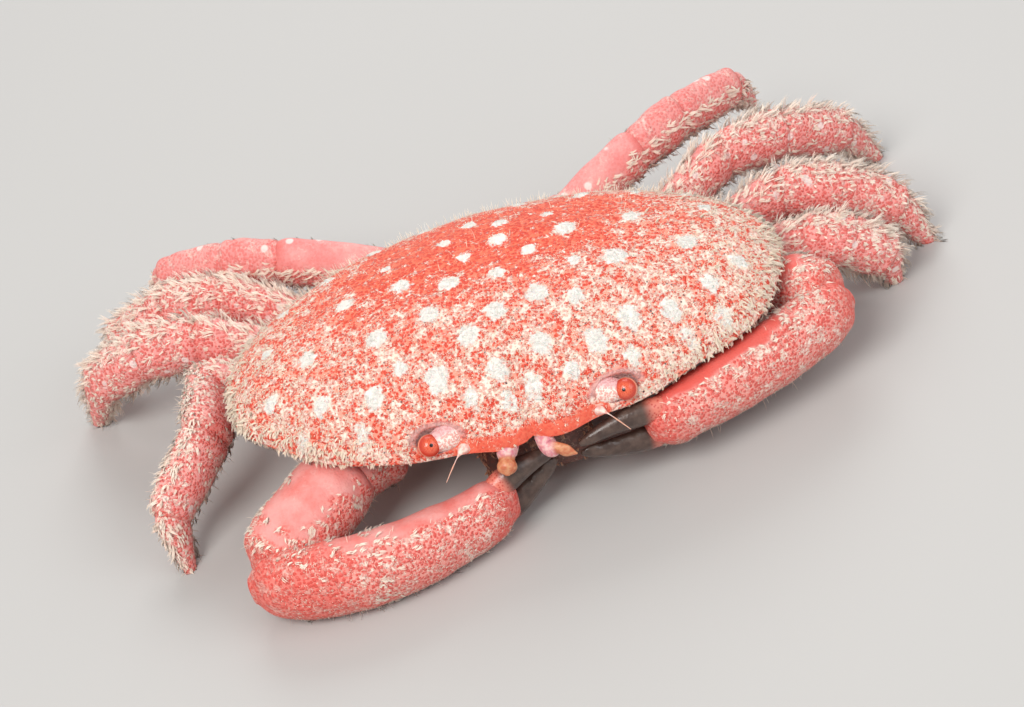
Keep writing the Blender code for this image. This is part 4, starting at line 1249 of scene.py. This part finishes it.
def finger_horn(colours):
    """Dark horn of the fingers, clouded with grey, and red where it leaves the palm."""
    made = Finish("finger_horn")
    streaks, pits = made.noise(1.6, 4.0), made.cells(5.0)
    dark = made.shade(streaks, 0.3, 0.7, colours["dark"], colours["grey"])
    red = made.shade(pits, 0.1, 0.5, colours["red"], colours["pink"])
    colour = made.shade(made.mark("along"), 0.10, 0.26, red, dark)
    roughness = made.ramp(streaks, 0.3, 0.7, 0.3, 0.45)
    return made.done(colour, roughness, pits, RELIEF["horn"], weights=[("Coat Weight", 0.25)])


def cornea_glass(colours):
    """The cornea: a fine net over orange-red, a dark point where it faces, and a pale rim."""
    made = Finish("cornea_surface")
    tilt, facets = made.mark("tilt"), made.cells(11.0)
    colour = made.shade(facets, 0.2, 0.55, colours["net"], colours["facet"])
    colour = made.shade(tilt, 0.10, 0.34, colour, colours["flank"])
    rim = made.times(made.ramp(tilt, 0.37, 0.41), made.ramp(tilt, 0.50, 0.46))
    colour = made.blend(rim, colour, colours["ring"])
    colour = made.shade(tilt, 0.48, 0.54, colour, colours["back"])
    colour = made.shade(tilt, 0.062, 0.045, colour, colours["pupil"])
    roughness = made.ramp(facets, 0.0, 0.6, 0.16, 0.24)
    return made.done(colour, roughness, facets, RELIEF["cornea"], weights=[("Coat Weight", 0.3)])


def stalk_skin(colours):
    """Smooth whitish eyestalk with red flecks and a mauve upper side."""
    made = Finish("eyestalk_surface")
    flecks = made.group(GRANULES, {"Per Millimetre": GRANULES_PER_MM["stalk"]})
    above = made.add("ShaderNodeSeparateXYZ", {0: made.add("ShaderNodeNewGeometry")["Normal"]})["Z"]
    colour = made.shade(flecks["Body"], 0.35, 1.0, colours["skin"], colours["fleck"], most=0.6)
    colour = made.shade(above, 0.55, 0.9, colour, colours["above"], most=0.75)
    roughness = made.ramp(flecks["Pick"], 0.0, 1.0, 0.35, 0.5)
    return made.done(colour, roughness, flecks["Height"], RELIEF["skin"], GLOW["stalk"])


def feeler_skin(colours):
    """Feelers: the small ones mauve-pink with tan ends, the long ones pale pink and whitish."""
    made = Finish("feeler_surface")
    tan_end, mottle = made.mark("tan_end"), made.noise(3.0)
    mauve, pink, tan = (
        made.shade(mottle, 0.35, 0.65, colours[name], colours[f"pale_{name}"])
        for name in ("mauve", "pink", "tan")
    )
    root = made.blend(tan_end, pink, mauve)
    end = made.blend(tan_end, colours["thin_end"], tan)
    colour = made.shade(made.mark("along"), 0.63, 0.71, root, end)
    roughness = made.ramp(mottle, 0.3, 0.7, 0.3, 0.45)
    return made.done(colour, roughness, mottle, RELIEF["skin"], GLOW["feeler"])


def bristle_horn(name, colours):
    """Pale bristles that carry the skin's spots, darker and redder at their roots, some of them dusty."""
    made = Finish(name)
    tip, tint, spot = map(made.mark, ("tip", "tint", "spot"))
    colour = made.shade(tip, 0.0, 0.35, colours["root"], colours["shaft"])
    colour = made.shade(tip, 0.35, 1.0, colour, colours["tip"])
    colour = made.shade(tint, 0.72, 0.98, colour, colours["dirt"], most=0.7)
    colour = made.shade(spot, 0.3, 0.8, colour, colours["spot"])
    roughness, grain = made.ramp(tint, 0.0, 1.0, 0.45, 0.65), made.noise(14.0, 2.0)
    return made.done(colour, roughness, grain, RELIEF["bristle"], weights=[("Sheen Weight", 0.15)])


def floor_paint(colours):
    """The floor's pale paint, barely clouded."""
    made = Finish("pale_floor")
    cloud = made.noise(0.02)
    colour = made.blend(cloud, colours["low"], colours["high"])
    return made.done(colour, made.ramp(cloud, 0.3, 0.7, 0.6, 0.7))


# The crab's pieces


def mark_leg(grid, part, side, number):
    """Where a leg's plate is scurfy, smooth or tufted, and where it turns to the floor and takes painted
    shade.
    """
    normals, edge = grid["normals"], grid["marks"]["edge"]
    patchy = ripple(grid["points"], LEG_PATCHES[1], SEED + number) * LEG_PATCHES[0]
    facing = normals @ unit(np.array(mirrored(LEG_SMOOTH_WAY, side)))
    bare = step(facing, *LEG_SMOOTH_EDGE) * (part == "merus")
    tufted = 1 - bare
    if number == HIND_LEG:
        upper = step(normals[..., 2] + patchy * 0.3, *HIND_SMOOTH_EDGE)
        bare = np.maximum(bare, upper * HIND_SMOOTH["merus" if part == "merus" else "beyond"])
        tufted = 1 - upper
    cover = np.clip(LEG_COVER["flat"] + LEG_COVER["edge"] * edge**2 + patchy, 0, 1)
    cover = cover * (1 - LEG_COVER["smooth_loss"] * bare)
    # Painted shade on the sides that face the floor
    below = step(-normals[..., 2], *LEG_PAINTED_SHADE)
    return with_marks(grid, cover=cover, bare=bare, tufted=tufted, below=below)


def mark_claw(grid, part, side):
    """A claw is smooth where it turns up towards the body, and granular on its heel and its other sides."""
    normals = grid["normals"]
    towards, low, high = SMOOTH_SIDE[side][part]
    facing = normals @ unit(np.array(towards, float))
    patchy = ripple(grid["points"], CLAW_PATCHES[1], SEED + 5) * CLAW_PATCHES[0]
    along, joint = grid["marks"]["along"], grid["marks"]["joint"]
    bare = step(facing + 1.6 * patchy, low, high)
    if part == "palm":
        bare = bare * step(along + patchy, *HEEL_END[side])
    cover = CLAW_COVER["rough"] - CLAW_COVER["smooth_loss"] * bare + CLAW_COVER["patches"] * patchy
    cover = np.clip(cover, CLAW_COVER["least"], 1)
    tufted = 1 - bare
    # Painted shade: on the crab's left claw the smooth side next to the shell takes the red of the joints
    if side == LEFT:
        joint = np.maximum(joint, 1.6 * step(bare, 0.5, 1.0))
    elif part == "palm":
        joint = np.maximum(joint, 1 - step(along + patchy, *RED_HEEL_END))
        tufted = tufted + bump(along + patchy, RIDGE_PLACE, RIDGE_WIDTH) * (0.5 - tufted)
    # Painted shade on the sides that face the floor
    below = step(-normals[..., 2], *CLAW_PAINTED_SHADE)
    return with_marks(grid, cover=cover, bare=bare, joint=joint, tufted=tufted, below=below)


def shell_coat(grid, material, chance):
    """Short curls over the back, whiter ones on its spots, and longer bristles round its edge."""
    marks, aside, back = grid["marks"], np.abs(grid["points"][..., 0]), grid["points"][..., 1]
    far, open_below = marks["far"], 1 - step(marks["below"], 0.3, 0.8)
    on_top = (far < 0.995) * (1 - marks["hollow"]) * (1 - marks["lid"])
    clumps = step(ripple(grid["points"], 1.1, SEED + 9), -0.4, 0.6)
    curls = on_top * np.clip(marks["cover"], 0.02, 1) ** 1.6 * (0.12 + clumps)

    def curl_sizes(places):
        return CURL_SIZES["middle"] + CURL_SIZES["sides"] * step(np.abs(places[:, 0]), 9, 18)

    def edge_sizes(places):
        sides = EDGE_SIZES["middle"] + EDGE_SIZES["sides"] * step(np.abs(places[:, 0]), 7, 15)
        return sides + EDGE_SIZES["front"] * step(-places[:, 1], 2, 6)

    for k in range(BACK_CURL_PIECES):
        tufts = tufts_on(grid, SHORT_CURLS, BACK_CURLS, curls, chance, 0.8, sizes=curl_sizes)
        coat(f"back_curls_{k + 1}", [tufts], material)
    batches = [tufts_on(grid, SPOT_CURLS, SPOT_TUFTS, on_top * marks["spot"] ** 1.2, chance, 0.9)]
    near_edge = step(far, 0.93, 0.99) * (1 - marks["hollow"]) * open_below
    near_edge = near_edge * (0.08 + 0.92 * step(aside, 4.5, 12))
    flank = step(far, 0.5, 0.9) * step(aside, 5, 12) * on_top
    near_edge = near_edge + 0.09 * flank * marks["cover"] * step(back, -6, 2)
    batches.append(
        tufts_on(
            grid, EDGE_BRISTLES, EDGE_TUFTS, near_edge, chance, 0.25, run=0.6, down=0.3, sizes=edge_sizes
        )
    )
    rear = step(far, 0.45, 0.85) * step(back, 0.0, 5.0) * open_below
    hairs = rear * (1 - 0.6 * marks["spot"]) + 0.04 * on_top
    batches.append(tufts_on(grid, STANDING_HAIRS, BACK_HAIRS, hairs, chance, 0.5))
    coat("back_edge_bristles", batches, material)


def limb_coat(name, grids, kinds, tufts, material, chance):
    """Fuzz over the scurfy sides, longer bristles along the edges, and single hairs on several limb grids.

    The kinds and the numbers of tufts come with the fuzz first and the longer bristles second.
    """
    spans = [np.linalg.norm(np.ptp(grid["points"].reshape(-1, 3), axis=0)) for grid in grids]
    batches = []

    def tuft_sizes(places):
        return chance.uniform(*LIMB_SIZES, len(places))

    def hair_sizes(places):
        return np.full(len(places), LIMB_SIZES[1])

    for grid, share in zip(grids, np.array(spans) / sum(spans)):
        marks = grid["marks"]
        middle = step(marks["along"], 0.05, 0.14) * (1 - step(marks["along"], 0.93, 0.99))
        verge = 4 * marks["tufted"] * (1 - marks["tufted"])
        open_side = middle * marks["tufted"] ** 2 * (0.10 + marks["cover"])
        clumps = step(ripple(grid["points"], 0.9, SEED + 8), -0.5, 0.5)
        along_edges = open_side * marks["edge"] ** 6 + middle * verge * (1 - marks["joint"]) * 1.2
        hairs = middle * (0.03 + marks["edge"] ** 4) * marks["tufted"]
        densities = (open_side * (0.3 + clumps), along_edges)
        for kind, whole, density, out in zip(kinds, tufts, densities, LIMB_TUFTS_OUT):
            count = int(whole * share)
            batches.append(tufts_on(grid, kind, count, density, chance, 0.3, out=out, sizes=tuft_sizes))
        count = int(LIMB_HAIRS * share)
        batches.append(tufts_on(grid, STANDING_HAIRS, count, hairs, chance, 0.4, out=0.5, sizes=hair_sizes))
    coat(name, batches, material)


def build_shell(crust, curls, chance):
    grid = shell_grid()
    plate("shell_back", [(grid, crust)], ["carapace"])
    shell_coat(grid, curls, chance)


def build_eyes():
    glass, skin = cornea_glass(CORNEA_COLOURS), stalk_skin(STALK_COLOURS)
    for side in (LEFT, RIGHT):
        path = (mirrored(STALK_ROOT, side), mirrored(CORNEA_CENTRE, side))
        half = (STALK_HALF, STALK_HALF)
        stalk = limb_grid(path, STALK_FORM, half, UP, crest=0.0, **STALK_MESHING)
        plate(f"eye_stalk_{side}", [(stalk, skin)], [f"eyestalk_{side}"])
        plate(f"eye_cornea_{side}", [(cornea_grid(side), glass)], [f"cornea_{side}"])


def build_feelers():
    skin = feeler_skin(FEELER_COLOURS)
    for side in (LEFT, RIGHT):
        feeler = bent_grid(ANTENNULES[side], ANTENNULE_HALVES[side], UP, *SMALL_FEELER_MESHING)
        feeler = with_marks(feeler, tan_end=1.0)
        plate(f"small_feeler_{side}", [(feeler, skin)], [f"antennule_{side}"])
        path = [mirrored(p, side) for p in ANTENNA]
        feeler = bent_grid(path, [(half, half) for half in ANTENNA_HALVES], UP, *LONG_FEELER_MESHING)
        plate(f"long_feeler_{side}", [(feeler, skin)], [f"antenna_{side}"])


def leg_root_grid(side, number):
    """The short piece that joins a walking leg to the breast plate."""
    start = np.array(mirrored(LEG_ROOT[number], side), float)
    way = unit(np.array(LEG_POSE[(side, number)][0]) - start)
    path = (start + way * COXA_PATH[0], start + way * COXA_PATH[1])
    grid = limb_grid(path, ROUND_ENDS, COXA_HALF, UP, **LEG_ROOT_MESHING)
    return mark_leg(grid, "coxa", side, number)


def build_underside(crust, mouth, leg_crust, bristles, chance):
    plate("breast_plate", [(thorax_grid(), crust)], ["thorax"])
    plate("tail_flap", [(abdomen_grid(), crust)], ["abdomen"])
    roots, fringes = [], []

    def fringe_sizes(places):
        return np.full(len(places), MOUTH_TUFT_SIZE)

    for side in (LEFT, RIGHT):
        path = (mirrored(MOUTH_PLATE_LOW, side), mirrored(MOUTH_PLATE_TOP, side))
        grid = limb_grid(path, FORM["carpus"], MOUTH_PLATE_HALF, mirrored((1, 0, 0), side), crest=0.0)
        plate(f"mouth_plate_{side}", [(grid, mouth)], [f"maxilliped_{side}"])
        density = grid["marks"]["edge"] ** 4 + 0.02
        fringes.append(
            tufts_on(
                grid, EDGE_BRISTLES, MOUTH_TUFTS, density, chance, 0.3, run=-1.0, out=0.5, sizes=fringe_sizes
            )
        )
        roots += [(leg_root_grid(side, number), leg_crust) for number in LEG_ROOT]
    plate("leg_roots", roots)
    coat("mouth_bristles", fringes, bristles)


def build_legs(crust, bristles, chance):
    for side in (LEFT, RIGHT):
        for number in LEG_ROOT:
            grids = leg_grids(side, number)
            for part, grid in grids.items():
                mark_leg(grid, part, side, number)
                node = f"leg{number}_{part}_{side}"
                plate(f"{node}_plate", [(grid, crust)], [node])
            name = f"leg{number}_{side}_bristles"
            shaggy = number != HIND_LEG and (side, number) != RAISED_LEG
            kinds = (LEG_FUZZ, LONG_BRISTLES if shaggy else LEG_BRISTLES)
            limb_coat(name, list(grids.values()), kinds, LEG_TUFTS, bristles, chance)


def build_claws(crust, horn, bristles, chance):
    for side in (LEFT, RIGHT):
        grids = claw_grids(side)
        parts = [mark_claw(grids[part], part, side) for part in CLAW_PARTS]
        plate(f"claw_merus_{side}_plate", [(grids["merus"], crust)], [f"claw_merus_{side}"])
        plate(f"claw_elbow_{side}_plate", [(grids["carpus"], crust)], [f"claw_carpus_{side}"])
        palm = [(grids["palm"], crust), (grids["fixed"], horn)]
        plate(f"claw_palm_{side}_plate", palm, [f"claw_palm_{side}"])
        plate(f"claw_finger_{side}_horn", [(grids["movable"], horn)], [f"claw_finger_{side}"])
        kinds = (CLAW_FUZZ, CLAW_BRISTLES)
        limb_coat(f"claw_{side}_bristles", parts, kinds, CLAW_TUFTS, bristles, chance)


def build_stage():
    """A plain pale floor and soft light from a few broad lamps."""
    mesh = bpy.data.meshes.new("floor")
    corners = [(x * FLOOR_REACH, y * FLOOR_REACH, 0) for x, y in ((-1, -1), (1, -1), (1, 1), (-1, 1))]
    mesh.from_pydata(corners, [], [(0, 1, 2, 3)])
    mesh.materials.append(floor_paint(FLOOR_COLOURS))
    floor = bpy.data.objects.new("floor", mesh)
    bpy.context.scene.collection.objects.link(floor)
    for name, (place, size, power, colour) in LAMPS.items():
        light = bpy.data.lights.new(f"{name}_light", "AREA")
        light.energy, light.size, light.color = power, size, colour
        lamp = bpy.data.objects.new(f"{name}_light", light)
        lamp.location = place
        lamp.rotation_euler = (-Vector(place)).to_track_quat("-Z", "Y").to_euler()
        bpy.context.scene.collection.objects.link(lamp)
    world = bpy.data.worlds.new("studio")
    world.use_nodes = True
    sky = world.node_tree.nodes["Background"].inputs
    sky["Color"].default_value = SKY_COLOUR
    sky["Strength"].default_value = SKY_STRENGTH
    bpy.context.scene.world = world
    bpy.context.scene.view_settings.view_transform = "Standard"


def build_camera():
    """The camera at the photograph's own angle, rolled, with the shell where the photograph has it."""
    azimuth, elevation, roll = (math.radians(a) for a in (VIEW_AZIMUTH, VIEW_ELEVATION, VIEW_ROLL))
    flat = math.cos(elevation)
    back = Vector((math.sin(azimuth) * flat, -math.cos(azimuth) * flat, math.sin(elevation)))
    level = Vector((math.cos(azimuth), math.sin(azimuth), 0))
    up = back.cross(level)
    right, up = level * math.cos(roll) - up * math.sin(roll), up * math.cos(roll) + level * math.sin(roll)
    pixel = VIEW_DISTANCE * SENSOR / VIEW_LENS / IMAGE[0]
    aside = right * (IMAGE[0] / 2 - AIM_PIXEL[0]) * pixel - up * (IMAGE[1] / 2 - AIM_PIXEL[1]) * pixel
    camera = bpy.data.cameras.new("camera")
    camera.lens, camera.sensor_width, camera.clip_start = VIEW_LENS, SENSOR, CLIP_START
    holder = bpy.data.objects.new("camera", camera)
    turned = Matrix((right, up, back)).transposed().to_4x4()
    turned.translation = Vector(ORIGIN) + (Vector(AIM) + aside + back * VIEW_DISTANCE) * MM
    holder.matrix_world = turned
    bpy.context.scene.collection.objects.link(holder)
    bpy.context.scene.camera = holder


def build():
    chance = np.random.default_rng(SEED)
    leg_crust = limb_crust("leg_crust", LEG_COLOURS, dotted=0.8)
    claw_crust = limb_crust("claw_crust", CLAW_COLOURS, dotted=0.0)
    limb_bristles = bristle_horn("limb_bristles", LIMB_BRISTLES)
    build_shell(shell_crust(SHELL_COLOURS), bristle_horn("shell_bristles", SHELL_BRISTLES), chance)
    build_eyes()
    build_feelers()
    under = underside_crust("underside_crust", UNDERSIDE_COLOURS)
    # Painted shade: the mouth finish and the mouth bristles are dark for the shade under the front
    mouth = underside_crust("shaded_mouth_crust", MOUTH_SHADE_COLOURS)
    build_underside(under, mouth, leg_crust, bristle_horn("shaded_mouth_bristle_horn", MOUTH_SHADE_BRISTLES), chance)
    build_legs(leg_crust, limb_bristles, chance)
    build_claws(claw_crust, finger_horn(HORN_COLOURS), limb_bristles, chance)
    build_stage()
    build_camera()


build()
